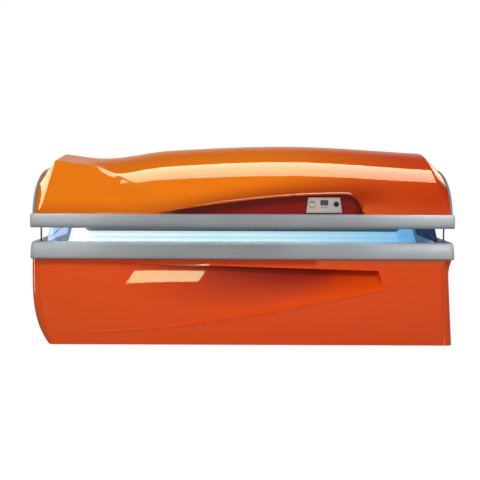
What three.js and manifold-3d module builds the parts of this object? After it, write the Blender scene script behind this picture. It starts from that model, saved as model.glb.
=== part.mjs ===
// Clamshell tanning bed: a glossy moulded base and canopy joined by a rear hinge, with silver rails
// along the mouth, lamp banks behind clear sheets, gas springs at the ends and a small control panel.
// Millimetres, +X to the right as seen from the front, +Y to the rear, +Z up, origin on the floor.

import * as THREE from "three";
import { mergeVertices } from "three/addons/utils/BufferGeometryUtils.js";
import Module from "manifold-3d";

const wasm = await Module();
wasm.setup();

// Driving dimensions: the whole bed
const LENGTH = 2260;
const DEPTH = 1180;
const HEIGHT = 1076;
const SEAT = 0.3; // gap between pieces that touch
const RUNNING = 0.4; // radial clearance of what slides or turns

// Driving dimensions: rails
const RAIL_DEPTH = 76;
const BASE_RAIL_TOP = 560;
const BASE_RAIL_HEIGHT = 90;
const CANOPY_RAIL_HEIGHT = 74;
const MOUTH_GAP = 76;
const RAIL_SHOULDER = 9; // height of the rail's flat lower lip
const RAIL_ROUNDING_STEPS = 8;
const END_RAIL_WIDTH = 45;
const END_RAIL_CORNER = 30;
const END_DECK_THICKNESS = 6;

// Driving dimensions: base structure
const FOOT_HEIGHT = 60;
const FOOT_PAD_RADIUS = 32;
const FOOT_PAD_HEIGHT = 14;
const FOOT_STEM_RADIUS = 9;
const FOOT_INSET_X = 170;
const FOOT_INSET_Y = 80;
const PAN_THICKNESS = 4;
const PAN_FLANGE = 46;
const COMPARTMENT_WIDTH = 45; // between an end rail and its end frame
const END_FRAME_THICKNESS = 6;
const REAR_BEAM_DEPTH = 90;
const REAR_BEAM_HEIGHT = 56;
const PANEL_WALL = 5;
const FLOOR_GAP = 8; // below the panels

// Driving dimensions: base panels
const FRONT_BULGE_INSET = 26; // from the rail's nose to the panel's fullest line
const FRONT_BULGE_HEIGHT = 288;
const FRONT_TOP_TUCK = 12;
const FRONT_TOE_TUCK = 14;
const LEFT_OVERHANG = 4; // of the end rail over the end panel
const LEFT_TUCK = 84; // how far the left end draws in at the floor
const RIGHT_OVERHANG = 4;
const RIGHT_WAIST = 24; // narrowest line of the right end, in from the bed's end
const RIGHT_WAIST_DROP = 87; // and below the panel's top edge
const RIGHT_FLARE = 22; // how far the right end spreads again at the floor
const PANEL_CORNER = 40;
const PANEL_SEAM = 1.2; // between the front panel and the end panels
const REAR_INSET = 15; // from the end rails' rear ends to the rear panel
const REAR_RETURN = 160; // end panel's wrap round the rear corner

// Driving dimensions: the scoop pressed into the base's front panel
const SCOOP_DEPTH = 42;
const SCOOP_LEFT_INSET = 160; // from the bed's left end
const SCOOP_RIGHT_INSET = 395; // from the bed's right end
const SCOOP_BLEND = 300; // over which the rows bend to the right edge
const SCOOP_RIGHT_LEAN = 30; // the right edge leans out towards the floor
const SCOOP_TOP_LEFT_DROP = 14; // below the panel's top edge
const SCOOP_TOP_RIGHT_DROP = 60;
const SCOOP_FOOT_LEFT = 70; // height of the lower crease
const SCOOP_FOOT_RIGHT = 310;

// Driving dimensions: bench
const BENCH_SHEET = 5;
const BENCH_FRONT_DROP = 12; // front edge below the rail's top
const BENCH_DIP = 97; // lowest point below the rail's top
const BENCH_REAR_RISE = 54; // rear edge above the rail's top
const BENCH_LOW_Y = -60;
const BENCH_REAR_INSET = 165; // rear edge to the bed's rear
const BENCH_SHOULDER = 130; // end frame's raised rear part, ahead of that edge
const BENCH_STEPS = 16;

// Driving dimensions: lamps
const LAMP_RADIUS = 19;
const HOLDER_WIDTH = 83; // the lamps fill what the holders leave
const LAMP_CAP_LENGTH = 32;
const LAMP_SIDES = 10;
const LAMP_SHEET_GAP = 10; // lamp to clear sheet
const LAMP_REFLECTOR_GAP = 6;
const REFLECTOR_SHEET = 3;
const BENCH_LAMPS = 4;
const CANOPY_LAMPS = 5;
const BENCH_LAMP_MARGIN = 60; // first lamp's axis to the bench's edge
const HOLDER_MARGIN = 45; // lamp holder's end to the bench's edge
const HOLDER_BASE = 5; // lamp holder below the reflector
const CANOPY_LAMP_MARGIN = 22; // degrees up the arch

// Driving dimensions: rear hinge
const HINGE_INSET = 85; // from the bed's rear
const HINGE_RISE = 40; // above the rear deck
const HINGE_END_INSET = 310; // from the bed's ends
const HINGE_PIN_RADIUS = 9;
const HINGE_KNUCKLE_RADIUS = 20;
const HINGE_KNUCKLE_WIDTH = 44;
const HINGE_CHEEK = 10;
const HINGE_FOOT = 8;
const HINGE_FOOT_LENGTH = 110;
const HINGE_HEAD = 8;
const HINGE_HEAD_LIP = 4;
const DECK_SHEET = 4;
const DECK_DROP = 36; // deck below the bench's rear edge

// Driving dimensions: canopy
const CROWN_LEFT_DROP = 47; // crown line below the bed's highest point
const CROWN_DIP_DROP = 70;
const CROWN_RISE_DROP = 26;
const CROWN_RIGHT_DROP = 37;
const CROWN_DIP_INSET = 370; // from the bed's left end
const CROWN_RISE_INSET = 710; // from the bed's left end
const CROWN_TOP_INSET = 845; // from the bed's right end
const LEFT_CREASE_CROWN = 112; // left end crease at the crown, from the bed's left end
const LEFT_CREASE_FOOT = 53; // and at the rail
const RIGHT_CREASE_CROWN = 119; // right end crease at the crown, from the bed's right end
const RIGHT_CREASE_FOOT = 44; // and at the rail
const END_CAP_THICKNESS = 26; // along the rail
const END_CAP_PLATE = 12; // above the rail
const END_CAP_CROWN = 235;
const END_CAP_REVEAL = 4; // the cap stands proud of the shell
const SHELL_WALL = 5;
const SHELL_INSET = 14; // shell's foot behind the rail's nose
const SHELL_STATIONS = 30;
const SHELL_ARCH_STEPS = 15;
const SHOULDER_INSET = 580; // a slanted crease where a straight slope leaves the arch, from the bed's left end
const SHOULDER_HEIGHT = 175; // the height at which that holds
const SHOULDER_LEAN = 2.8; // the crease's run to the left over its rise
const SHOULDER_LEAN_UP = 75; // where it stands upright, above that height
const SHOULDER_LEAN_DOWN = 100; // and below it
const SHOULDER_RUN = 200; // over which the arch turns into the slope
const SHOULDER_SLOPE = 1.31; // the slope's rise over its run
const LEFT_END_SLOPE = 1; // and at the left end cap
const SHOULDER_FALL = 0.1; // fall of the flat top towards the shoulder
const SHOULDER_ROUND = 30;
const REAR_RAIL_DEPTH = 110;
const REAR_RAIL_LIFT = 27; // above the canopy rail's underside

// Driving dimensions: control recess in the canopy's front
const RECESS_INSET = 70; // back wall behind the rail's nose
const RECESS_LEFT_INSET = 638; // from the bed's left end
const RECESS_RIGHT_INSET = 490; // from the bed's right end
const RECESS_HOOK = 75; // length of the rounded right end
const RECESS_HEIGHT = 108;
const RECESS_RAMP = 260; // over which the back wall sinks in from the left
const RECESS_LEDGE = 2;

// Driving dimensions: canopy lamp arch
const ARCH_HEADROOM = 83.7; // the arch's rise below the crown's lowest height
const ARCH_SIDE_GAP = 72; // flat border of the clear sheet
const ARCH_LIFT = 32; // above the canopy rail's underside
const CANOPY_SHEET = 5;
const ARCH_STEPS = 18;

// Driving dimensions: gas springs
const SPRING_PIVOT_INSET = 230; // from the bed's rear
const SPRING_PIVOT_DROP = 212; // below the base rail's top
const SPRING_TOP_INSET = 340; // from the bed's rear
const SPRING_TOP_LIFT = 32; // above the canopy rail's underside
const SPRING_OFFSET = 22; // from the end frame
const CYLINDER_RADIUS = 11;
const CYLINDER_END = 50; // solid end of the cylinder, from its pivot
const ROD_RADIUS = 5;
const ROD_SHOWN = 30; // bare rod with the canopy closed
const ROD_END_GAP = 10; // rod's inner end to the bottom of its bore
const EYE_RADIUS = 12;
const EYE_WIDTH = 16;
const STUD_RADIUS = 5;
const STUD_REACH = 4; // beyond the eye
const SPRING_SLOT_MARGIN = 8;
const SPRING_SLOT_SIDE = 3;
const SPRING_OPEN_ANGLE = 1.3; // degrees from upright, canopy open

// Driving dimensions: end screens
const SCREEN_THICKNESS = 6;
const SCREEN_GAP = 2; // from the lamp compartment's end
const SCREEN_REAR_Y = 440;
const SCREEN_LEAN = 100; // the front edge leans back over its height
const SCREEN_HEADROOM = 4;
const SCREEN_FOOT = 6; // square foot of the leaning edge

// Driving dimensions: control panel
const PANEL_INSET = 695; // panel's middle to the bed's right end
const PANEL_BOTTOM_WIDTH = 194;
const PANEL_TOP_WIDTH = 170;
const PANEL_HEIGHT = 84;
const PANEL_LIFT = 6; // above the canopy rail
const PANEL_FACE_INSET = 34; // behind the rail's nose
const CONTROL_SPACING = 64; // knob and button from the panel's middle
const CONTROL_HEIGHT = 48; // above the panel's lower edge
const KNOB_RADIUS = 16;
const KNOB_DEPTH = 14;
const KNOB_POINTER = 3;
const BUTTON_RADIUS = 13;
const BUTTON_PROUD = 5;
const BUTTON_ROOT = 4;
const BUTTON_POCKET = 8;
const DISPLAY_WIDTH = 34;
const DISPLAY_HEIGHT = 20;
const DISPLAY_SHEET = 3;
const DISPLAY_LIFT = 8; // above the knob's axis

// Driving dimensions: fan, ballasts, vent and gland
const FAN_INSET = 870; // fan's axis to the bed's right end
const FAN_Y = 10;
const FAN_RADIUS = 120;
const FAN_WALL = 5;
const FAN_HEIGHT = 80;
const FAN_TIP_GAP = 6;
const FAN_HUB_RADIUS = 36;
const FAN_BLADES = 7;
const FAN_BLADE_THICKNESS = 3;
const FAN_BLADE_PITCH = 35; // degrees
const FAN_SPINDLE_RADIUS = 6;
const FAN_MOTOR_HEIGHT = 24;
const FAN_SPOKE_WIDTH = 14;
const BALLAST_INSET = 350; // rack to the bed's left end
const BALLAST_MARGIN = 15;
const BALLAST_LENGTH = 210;
const BALLAST_WIDTH = 62;
const BALLAST_HEIGHT = 46;
const BALLAST_PITCH = 100;
const BALLASTS = 6;
const BALLAST_TRAY = 4;
const VENT_INSET = 800; // from the bed's right end
const VENT_LENGTH = 300;
const VENT_FIRST_STEP = 11;
const VENT_LAST_STEP = 13;
const VENT_LIFT = 8;
const GLAND_INSET = 370; // from the bed's left end
const GLAND_Z = 130;
const GLAND_RADIUS = 15;
const GLAND_LENGTH = 14;
const GLAND_BORE = 6;

// Places worked out from the driving dimensions
const HALF_LENGTH = LENGTH / 2;
const HALF_DEPTH = DEPTH / 2;
const NOSE_Y = -HALF_DEPTH;
const RAIL_BACK_Y = NOSE_Y + RAIL_DEPTH;
const BASE_RAIL_BOTTOM = BASE_RAIL_TOP - BASE_RAIL_HEIGHT;
const CANOPY_BOTTOM = BASE_RAIL_TOP + MOUTH_GAP;
const CANOPY_RAIL_TOP = CANOPY_BOTTOM + CANOPY_RAIL_HEIGHT;
const END_RAIL_X = HALF_LENGTH - END_RAIL_WIDTH;
const FRAME_OUTER_X = END_RAIL_X - COMPARTMENT_WIDTH;
const FRAME_INNER_X = FRAME_OUTER_X - END_FRAME_THICKNESS;
const PAN_TOP = FOOT_HEIGHT + PAN_THICKNESS;
const PANEL_TOP = BASE_RAIL_BOTTOM - SEAT;
const REAR_Y = HALF_DEPTH - REAR_INSET;
const BENCH_FRONT_Y = RAIL_BACK_Y + SEAT;
const BENCH_REAR_Y = HALF_DEPTH - BENCH_REAR_INSET;
const BENCH_LOW_Z = BASE_RAIL_TOP - BENCH_DIP;
const BENCH_REAR_Z = BASE_RAIL_TOP + BENCH_REAR_RISE;
const DECK_TOP = BENCH_REAR_Z - DECK_DROP;
const DECK_FRONT_Y = BENCH_REAR_Y + SEAT;
const HINGE_X = HALF_LENGTH - HINGE_END_INSET;
const HINGE_Y = HALF_DEPTH - HINGE_INSET;
const HINGE_Z = DECK_TOP + HINGE_RISE;
const REAR_RAIL_BOTTOM = CANOPY_BOTTOM + REAR_RAIL_LIFT;
const REAR_RAIL_FRONT_Y = HALF_DEPTH - SHELL_INSET - REAR_RAIL_DEPTH;
const CAP_INNER_X = HALF_LENGTH - END_CAP_THICKNESS;
const INSIDE_X = FRAME_INNER_X - SEAT;
const HOLDER_INNER_X = INSIDE_X - HOLDER_WIDTH;
const LAMP_HALF = HOLDER_INNER_X - SEAT;
const ARCH_MIDDLE_Y = (RAIL_BACK_Y + REAR_RAIL_FRONT_Y) / 2;
const ARCH_FOOT_Z = CANOPY_BOTTOM + ARCH_LIFT;
const ARCH_HALF_SPAN = (REAR_RAIL_FRONT_Y - RAIL_BACK_Y) / 2 - ARCH_SIDE_GAP;
const LAMP_OFFSET = LAMP_SHEET_GAP + LAMP_RADIUS;
const REFLECTOR_OFFSET = LAMP_OFFSET + LAMP_RADIUS + LAMP_REFLECTOR_GAP;
const SPRING_X = FRAME_OUTER_X + SPRING_OFFSET;
const SPRING_PIVOT_Y = HALF_DEPTH - SPRING_PIVOT_INSET;
const SPRING_PIVOT_Z = BASE_RAIL_TOP - SPRING_PIVOT_DROP;
const SPRING_TOP_Y = HALF_DEPTH - SPRING_TOP_INSET;
const SPRING_TOP_Z = CANOPY_BOTTOM + SPRING_TOP_LIFT;
const SCOOP_LEFT = -HALF_LENGTH + SCOOP_LEFT_INSET;
const SCOOP_RIGHT = HALF_LENGTH - SCOOP_RIGHT_INSET;
const RECESS_LEFT = -HALF_LENGTH + RECESS_LEFT_INSET;
const RECESS_RIGHT = HALF_LENGTH - RECESS_RIGHT_INSET;
const LEFT_CROWN_X = HALF_LENGTH - LEFT_CREASE_CROWN;
const LEFT_FOOT_X = HALF_LENGTH - LEFT_CREASE_FOOT;
const RIGHT_CROWN_X = HALF_LENGTH - RIGHT_CREASE_CROWN;
const RIGHT_FOOT_X = HALF_LENGTH - RIGHT_CREASE_FOOT;
const CROWN_TOP = HEIGHT - CANOPY_RAIL_TOP - SEAT; // above the shell's foot
const ARCH_RISE = CROWN_TOP - CROWN_DIP_DROP - ARCH_HEADROOM;
const PANEL_X = HALF_LENGTH - PANEL_INSET;
const FAN_X = HALF_LENGTH - FAN_INSET;
const BALLAST_X = -HALF_LENGTH + BALLAST_INSET + (BALLAST_PITCH * BALLASTS) / 2;
const VENT_RIGHT = HALF_LENGTH - VENT_INSET;
const VENT_LEFT = VENT_RIGHT - VENT_LENGTH;
const GLAND_X = -HALF_LENGTH + GLAND_INSET;

// Finishes
const finish = (color, roughness, metalness) =>
  new THREE.MeshStandardMaterial({ color, roughness, metalness });
const ORANGE_PAINT = finish(0xd9581c, 0.12, 0.0);
const SATIN_SILVER = finish(0xa9afb3, 0.35, 0.7);
const GREY_PLASTIC = finish(0x8f959a, 0.45, 0.1);
const CLEAR_ACRYLIC = new THREE.MeshStandardMaterial({
  color: 0xdfeef5,
  roughness: 0.05,
  metalness: 0,
  transparent: true,
  opacity: 0.3,
});
const LAMP_GLASS = new THREE.MeshStandardMaterial({
  color: 0xeef7ff,
  roughness: 0.3,
  metalness: 0,
  emissive: 0xbfe6ff,
});
const HOLDER_PLASTIC = finish(0xdfe6ee, 0.5, 0.0);
const BRIGHT_ALUMINIUM = finish(0xd5d9dc, 0.18, 0.9);
const FRAME_STEEL = finish(0x53585c, 0.5, 0.6);
const PALE_STEEL = finish(0xa9b6cf, 0.5, 0.3);
const ZINC_STEEL = finish(0xb4b7b8, 0.35, 0.8);
const BLACK_PLASTIC = finish(0x17181a, 0.4, 0.0);
const BLACK_RUBBER = finish(0x1d1d1d, 0.8, 0.0);
const CHROME = finish(0xd8dadc, 0.08, 1.0);
const DARK_GLASS = finish(0x2a2226, 0.1, 0.0);

const bed = new THREE.Group();

function add(name, geometry, material, parent = bed) {
  const mesh = new THREE.Mesh(geometry, material);
  mesh.name = name;
  parent.add(mesh);
  return mesh;
}

// Turns a geometry into a closed solid for joining and cutting.
function solid(geometry) {
  const bare = geometry.clone();
  bare.deleteAttribute("normal");
  bare.deleteAttribute("uv");
  const merged = mergeVertices(bare, 1e-3);
  return new wasm.Manifold(
    new wasm.Mesh({
      numProp: 3,
      vertProperties: merged.attributes.position.array,
      triVerts: new Uint32Array(merged.index.array),
    }),
  );
}

function geometryOf(manifold) {
  const mesh = manifold.getMesh();
  const geometry = new THREE.BufferGeometry();
  geometry.setAttribute("position", new THREE.BufferAttribute(mesh.vertProperties, 3));
  geometry.setIndex(new THREE.BufferAttribute(mesh.triVerts, 1));
  geometry.computeVertexNormals();
  return geometry;
}

const join = (...geometries) => geometryOf(geometries.map(solid).reduce((a, b) => a.add(b)));

function cut(geometry, ...tools) {
  return geometryOf(tools.map(solid).reduce((a, b) => a.subtract(b), solid(geometry)));
}

const outline = (points) => new THREE.Shape(points.map(([u, v]) => new THREE.Vector2(u, v)));

// Straight prisms of an outline: along X the outline is (y, z), along Y it is (x, z), along Z it is (x, y).
function prism(shape, length, axes) {
  const geometry = new THREE.ExtrudeGeometry(shape, { depth: length, bevelEnabled: false, curveSegments: 8 });
  return geometry.applyMatrix4(new THREE.Matrix4().makeBasis(...axes));
}
const X_AXIS = new THREE.Vector3(1, 0, 0);
const Y_AXIS = new THREE.Vector3(0, 1, 0);
const Z_AXIS = new THREE.Vector3(0, 0, 1);
const BACKWARD = new THREE.Vector3(0, -1, 0);

const prismX = (shape, x0, x1) => prism(shape, x1 - x0, [Y_AXIS, Z_AXIS, X_AXIS]).translate(x0, 0, 0);
const prismY = (shape, y0, y1) => prism(shape, y1 - y0, [X_AXIS, Z_AXIS, BACKWARD]).translate(0, y1, 0);
const prismZ = (shape, z0, z1) => prism(shape, z1 - z0, [X_AXIS, Y_AXIS, Z_AXIS]).translate(0, 0, z0);

// The same prism at the left end or, mirrored, at the right end: side is -1 or 1.
const endPrismX = (shape, side, inner, outer) =>
  side < 0 ? prismX(shape, -outer, -inner) : prismX(shape, inner, outer);

function box(x0, x1, y0, y1, z0, z1) {
  return new THREE.BoxGeometry(x1 - x0, y1 - y0, z1 - z0).translate((x0 + x1) / 2, (y0 + y1) / 2, (z0 + z1) / 2);
}

// Round bars along each axis, from one end to the other.
const barX = (radius, x0, x1, sides) =>
  new THREE.CylinderGeometry(radius, radius, x1 - x0, sides).rotateZ(Math.PI / 2).translate((x0 + x1) / 2, 0, 0);
const barY = (radius, y0, y1, sides) =>
  new THREE.CylinderGeometry(radius, radius, y1 - y0, sides).translate(0, (y0 + y1) / 2, 0);
const barZ = (radius, z0, z1, sides) =>
  new THREE.CylinderGeometry(radius, radius, z1 - z0, sides).rotateX(Math.PI / 2).translate(0, 0, (z0 + z1) / 2);

// A turned piece about Z from (radius, height) points.
const turned = (points, sides) =>
  new THREE.LatheGeometry(points.map(([r, h]) => new THREE.Vector2(r, h)), sides).rotateX(Math.PI / 2);

// A curved wall from two matching grids of points, its outer and its inner face.
function wall(outer, inner) {
  const rows = outer.length;
  const columns = outer[0].length;
  const positions = [...outer, ...inner].flat().flatMap((p) => [p.x, p.y, p.z]);
  const at = (face, i, k) => (face * rows + i) * columns + k;
  const index = [];
  const quad = (a, b, c, d) => index.push(a, b, c, a, c, d);
  for (let i = 0; i + 1 < rows; i++) {
    for (let k = 0; k + 1 < columns; k++) {
      quad(at(0, i, k), at(0, i + 1, k), at(0, i + 1, k + 1), at(0, i, k + 1));
      quad(at(1, i, k), at(1, i, k + 1), at(1, i + 1, k + 1), at(1, i + 1, k));
    }
    quad(at(0, i, 0), at(1, i, 0), at(1, i + 1, 0), at(0, i + 1, 0));
    const k = columns - 1;
    quad(at(0, i, k), at(0, i + 1, k), at(1, i + 1, k), at(1, i, k));
  }
  for (let k = 0; k + 1 < columns; k++) {
    quad(at(0, 0, k), at(0, 0, k + 1), at(1, 0, k + 1), at(1, 0, k));
    const i = rows - 1;
    quad(at(0, i, k), at(1, i, k), at(1, i, k + 1), at(0, i, k + 1));
  }
  const geometry = new THREE.BufferGeometry();
  geometry.setAttribute("position", new THREE.Float32BufferAttribute(positions, 3));
  geometry.setIndex(index);
  geometry.computeVertexNormals();
  return geometry;
}

// Points of a curve in (y, z) moved sideways, to the left of its direction of travel.
function offsetCurve(points, distance) {
  return points.map(([y, z], i) => {
    const [y0, z0] = points[Math.max(i - 1, 0)];
    const [y1, z1] = points[Math.min(i + 1, points.length - 1)];
    const length = Math.hypot(y1 - y0, z1 - z0);
    return [y - ((z1 - z0) / length) * distance, z + ((y1 - y0) / length) * distance];
  });
}

const band = (curve, other) => outline([...curve, ...[...other].reverse()]);
const smooth = (t) => THREE.MathUtils.smoothstep(t, 0, 1);
const SIDES = [
  ["left", -1],
  ["right", 1],
];

// Rails: the base's rail has a full round top, the canopy's rail a shallow bulge.
const points2 = (curve, steps) => curve.getPoints(steps).map((p) => [p.x, p.y]);

function baseRailNose(bottom, height) {
  const foot = bottom + RAIL_SHOULDER;
  const nose = new THREE.EllipseCurve(RAIL_BACK_Y, foot, RAIL_DEPTH, height - RAIL_SHOULDER, Math.PI, Math.PI / 2, true);
  return [[NOSE_Y + RAIL_SHOULDER, bottom], ...points2(nose, RAIL_ROUNDING_STEPS)];
}

function canopyRailNose(bottom, height) {
  const middle = bottom + height / 2;
  const nose = new THREE.EllipseCurve(NOSE_Y + SHELL_INSET, middle, SHELL_INSET, height / 2, 1.5 * Math.PI, Math.PI / 2, true);
  return points2(nose, RAIL_ROUNDING_STEPS);
}

const railOutline = (nose, bottom, top) => outline([[RAIL_BACK_Y, bottom], ...nose, [RAIL_BACK_Y, top]].reverse());
const mirrored = (points) => points.map(([y, z]) => [-y, z]).reverse();

// A plan outline of one end, its two outer corners rounded.
function endPlan(side, inner, outer, corner) {
  const shape = new THREE.Shape();
  shape.moveTo(inner, NOSE_Y);
  shape.lineTo(outer - corner, NOSE_Y);
  shape.absarc(outer - corner, NOSE_Y + corner, corner, -Math.PI / 2, 0, false);
  shape.absarc(outer - corner, HALF_DEPTH - corner, corner, 0, Math.PI / 2, false);
  shape.lineTo(inner, HALF_DEPTH);
  return outline(shape.getPoints(6).map((p) => [side * p.x, p.y]));
}

const baseNose = baseRailNose(BASE_RAIL_BOTTOM, BASE_RAIL_HEIGHT);
const canopyNose = canopyRailNose(CANOPY_BOTTOM, CANOPY_RAIL_HEIGHT);
const baseRailSpan = END_RAIL_X - SEAT;
const canopyRailSpan = CAP_INNER_X - SEAT;

add(
  "base_front_rail",
  prismX(
    railOutline(baseNose.slice(0, -1), BASE_RAIL_BOTTOM, BASE_RAIL_TOP),
    -baseRailSpan,
    baseRailSpan,
  ),
  SATIN_SILVER,
);
add(
  "canopy_front_rail",
  prismX(railOutline(canopyNose, CANOPY_BOTTOM, CANOPY_RAIL_TOP), -canopyRailSpan, canopyRailSpan),
  SATIN_SILVER,
);

// Gas spring line at rest: pivot on the base, upper end on the canopy.
const springRun = SPRING_PIVOT_Y - SPRING_TOP_Y;
const springRise = SPRING_TOP_Z - SPRING_PIVOT_Z;
const springLength = Math.hypot(springRun, springRise);
const springLean = Math.atan2(springRun, springRise);
const springAt = (lean, z) => SPRING_PIVOT_Y - (z - SPRING_PIVOT_Z) * Math.tan(lean);

// End rails of the base: the rail carried round the corner, with a deck notched for the gas spring.
for (const [name, side] of SIDES) {
  const across = side < 0 ? [-HALF_LENGTH, -END_RAIL_X] : [END_RAIL_X, HALF_LENGTH];
  const through = outline([...baseNose, ...mirrored(baseNose)].reverse());
  const plan = prismZ(endPlan(side, END_RAIL_X, HALF_LENGTH, END_RAIL_CORNER), BASE_RAIL_BOTTOM - 1, BASE_RAIL_TOP + 1);
  const rail = geometryOf(solid(plan).intersect(solid(prismX(through, across[0] - 1, across[1] + 1))));
  const deckEdges = [side * (FRAME_OUTER_X + SEAT), side * (END_RAIL_X + 1)].sort((a, b) => a - b);
  const deckBottom = BASE_RAIL_TOP - END_DECK_THICKNESS;
  const deck = box(...deckEdges, RAIL_BACK_Y + SEAT, REAR_Y - PANEL_WALL - SEAT, deckBottom, BASE_RAIL_TOP);
  const reach = CYLINDER_RADIUS / Math.cos(springLean) + SPRING_SLOT_MARGIN;
  const slotFront = springAt(springLean, BASE_RAIL_TOP) - reach;
  const slotRear = springAt(THREE.MathUtils.degToRad(SPRING_OPEN_ANGLE), BASE_RAIL_TOP) + reach;
  const slotOuter = SPRING_X + CYLINDER_RADIUS + SPRING_SLOT_SIDE;
  const slotEdges = [side * FRAME_OUTER_X, side * slotOuter].sort((a, b) => a - b);
  const slot = box(...slotEdges, slotFront, slotRear, deckBottom - 1, BASE_RAIL_TOP + 1);
  add(`base_${name}_end_rail`, cut(join(rail, deck), slot), SATIN_SILVER);
}

// Base panels: a gently bulging front; the left end draws in towards the floor, the right end spreads.
const panelFall = (z) => THREE.MathUtils.clamp((PANEL_TOP - z) / (PANEL_TOP - FLOOR_GAP), 0, 1);

function endReach(side, z) {
  if (side < 0) {
    return HALF_LENGTH - LEFT_OVERHANG - LEFT_TUCK * panelFall(z) ** 3.8;
  }
  const waistZ = PANEL_TOP - RIGHT_WAIST_DROP;
  const lip = (RIGHT_WAIST - RIGHT_OVERHANG) * Math.max(0, (z - waistZ) / RIGHT_WAIST_DROP) ** 2;
  const flare = RIGHT_FLARE * Math.max(0, (waistZ - z) / (waistZ - FLOOR_GAP)) ** 1.2;
  return HALF_LENGTH - RIGHT_WAIST + lip + flare;
}

function frontY(z) {
  const above = (z - FRONT_BULGE_HEIGHT) / (PANEL_TOP - FRONT_BULGE_HEIGHT);
  const below = (FRONT_BULGE_HEIGHT - z) / (FRONT_BULGE_HEIGHT - FLOOR_GAP);
  const tuck = above > 0 ? FRONT_TOP_TUCK * above ** 2 : FRONT_TOE_TUCK * below ** 2;
  return NOSE_Y + FRONT_BULGE_INSET + tuck;
}

// The scoop: deepest under its upper ledge, running out to nothing at the left and along its foot.
const SCOOP_LEDGE = 2;
const SCOOP_WALL = 12;
const scoopAlong = (x) => THREE.MathUtils.clamp((x - SCOOP_LEFT) / (SCOOP_RIGHT - SCOOP_LEFT), 0, 1);
const scoopTop = (x) =>
  PANEL_TOP - THREE.MathUtils.lerp(SCOOP_TOP_LEFT_DROP, SCOOP_TOP_RIGHT_DROP, scoopAlong(x));
const scoopFoot = (x) =>
  THREE.MathUtils.lerp(SCOOP_FOOT_LEFT, SCOOP_FOOT_RIGHT, scoopAlong(x) ** 1.7);
const scoopDepth = (x) => (x >= SCOOP_RIGHT ? 0 : SCOOP_DEPTH * smooth(scoopAlong(x) / 0.75));

function frontPanel() {
  const middle = (PANEL_TOP + FLOOR_GAP) / 2;
  const leftMiddle = -(endReach(-1, middle) - PANEL_CORNER - PANEL_SEAM);
  const rightMiddle = endReach(1, middle) - PANEL_CORNER - PANEL_SEAM;
  const stations = [];
  for (let i = 0; i <= 24; i++) {
    stations.push(THREE.MathUtils.lerp(leftMiddle, rightMiddle, i / 24));
  }
  const clear = stations.filter((x) => Math.abs(x - SCOOP_RIGHT) > 2 * SCOOP_WALL);
  clear.push(SCOOP_RIGHT - SCOOP_WALL, SCOOP_RIGHT);
  clear.sort((a, b) => a - b);
  const outer = [];
  const inner = [];
  for (const x of clear) {
    const along = (x - leftMiddle) / (rightMiddle - leftMiddle);
    const top = scoopTop(x);
    const foot = scoopFoot(x);
    const deep = top - SCOOP_LEDGE;
    const heights = [FLOOR_GAP, (FLOOR_GAP + foot) / 2, foot];
    for (let k = 1; k <= 4; k++) {
      heights.push(THREE.MathUtils.lerp(foot, deep, k / 4));
    }
    heights.push(top, (top + PANEL_TOP + PANEL_WALL) / 2, PANEL_TOP);
    const lean = SCOOP_RIGHT_LEAN * Math.max(0, 1 - Math.abs(x - SCOOP_RIGHT) / SCOOP_BLEND);
    const ledge = heights.length - 3;
    const rowOuter = heights.map((z, k) => {
      const left = -(endReach(-1, z) - PANEL_CORNER - PANEL_SEAM);
      const right = endReach(1, z) - PANEL_CORNER - PANEL_SEAM;
      const slope = THREE.MathUtils.clamp((top - z) / (top - foot), 0, 1);
      const sunk = k > 2 && k < ledge ? (scoopDepth(x) * (z - foot)) / (deep - foot) : 0;
      return new THREE.Vector3(THREE.MathUtils.lerp(left, right, along) + lean * slope, frontY(z) + sunk, z);
    });
    const rowInner = rowOuter.map((p, k) => {
      const lift = k === ledge || k === ledge - 1 ? PANEL_WALL : 0;
      return new THREE.Vector3(p.x, p.y + PANEL_WALL, p.z + lift);
    });
    outer.push(rowOuter);
    inner.push(rowInner);
  }
  return wall(outer, inner);
}
add("base_front_panel", frontPanel(), ORANGE_PAINT);

// End panels: one sheet from the front panel round the end to the rear panel.
const rearReturnX = END_RAIL_X - REAR_RETURN;

function endPanel(side) {
  const heights = [];
  for (let i = 0; i <= 10; i++) {
    heights.push(THREE.MathUtils.lerp(FLOOR_GAP, PANEL_TOP, i / 10));
  }
  const path = (z, inset) => {
    const reach = endReach(side, z) - inset;
    const front = frontY(z) + inset;
    const rear = REAR_Y - inset;
    const corner = PANEL_CORNER - inset;
    const shape = new THREE.Path();
    shape.absarc(reach - corner, front + corner, corner, -Math.PI / 2, 0, false);
    shape.absarc(reach - corner, rear - corner, corner, 0, Math.PI / 2, false);
    shape.lineTo(rearReturnX, rear);
    const points = shape.getPoints(5).map((p) => new THREE.Vector3(side * p.x, p.y, z));
    return side < 0 ? points.reverse() : points;
  };
  const grid = (inset) => {
    const columns = heights.map((z) => path(z, inset));
    return columns[0].map((_, i) => columns.map((column) => column[i]));
  };
  return wall(grid(0), grid(PANEL_WALL));
}
for (const [name, side] of SIDES) {
  add(`base_${name}_end_panel`, endPanel(side), ORANGE_PAINT);
}

// Rear panel: wide under the deck, narrower between the end panels' returns.
const deckBottom = DECK_TOP - DECK_SHEET;
const rearWide = END_RAIL_X - SEAT;
const rearNarrow = rearReturnX - SEAT;
add(
  "base_rear_panel",
  prismY(
    outline([
      [-rearNarrow, FLOOR_GAP],
      [rearNarrow, FLOOR_GAP],
      [rearNarrow, BASE_RAIL_BOTTOM],
      [rearWide, BASE_RAIL_BOTTOM],
      [rearWide, deckBottom - SEAT],
      [-rearWide, deckBottom - SEAT],
      [-rearWide, BASE_RAIL_BOTTOM],
      [-rearNarrow, BASE_RAIL_BOTTOM],
    ]),
    REAR_Y - PANEL_WALL,
    REAR_Y,
  ),
  ORANGE_PAINT,
);

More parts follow.
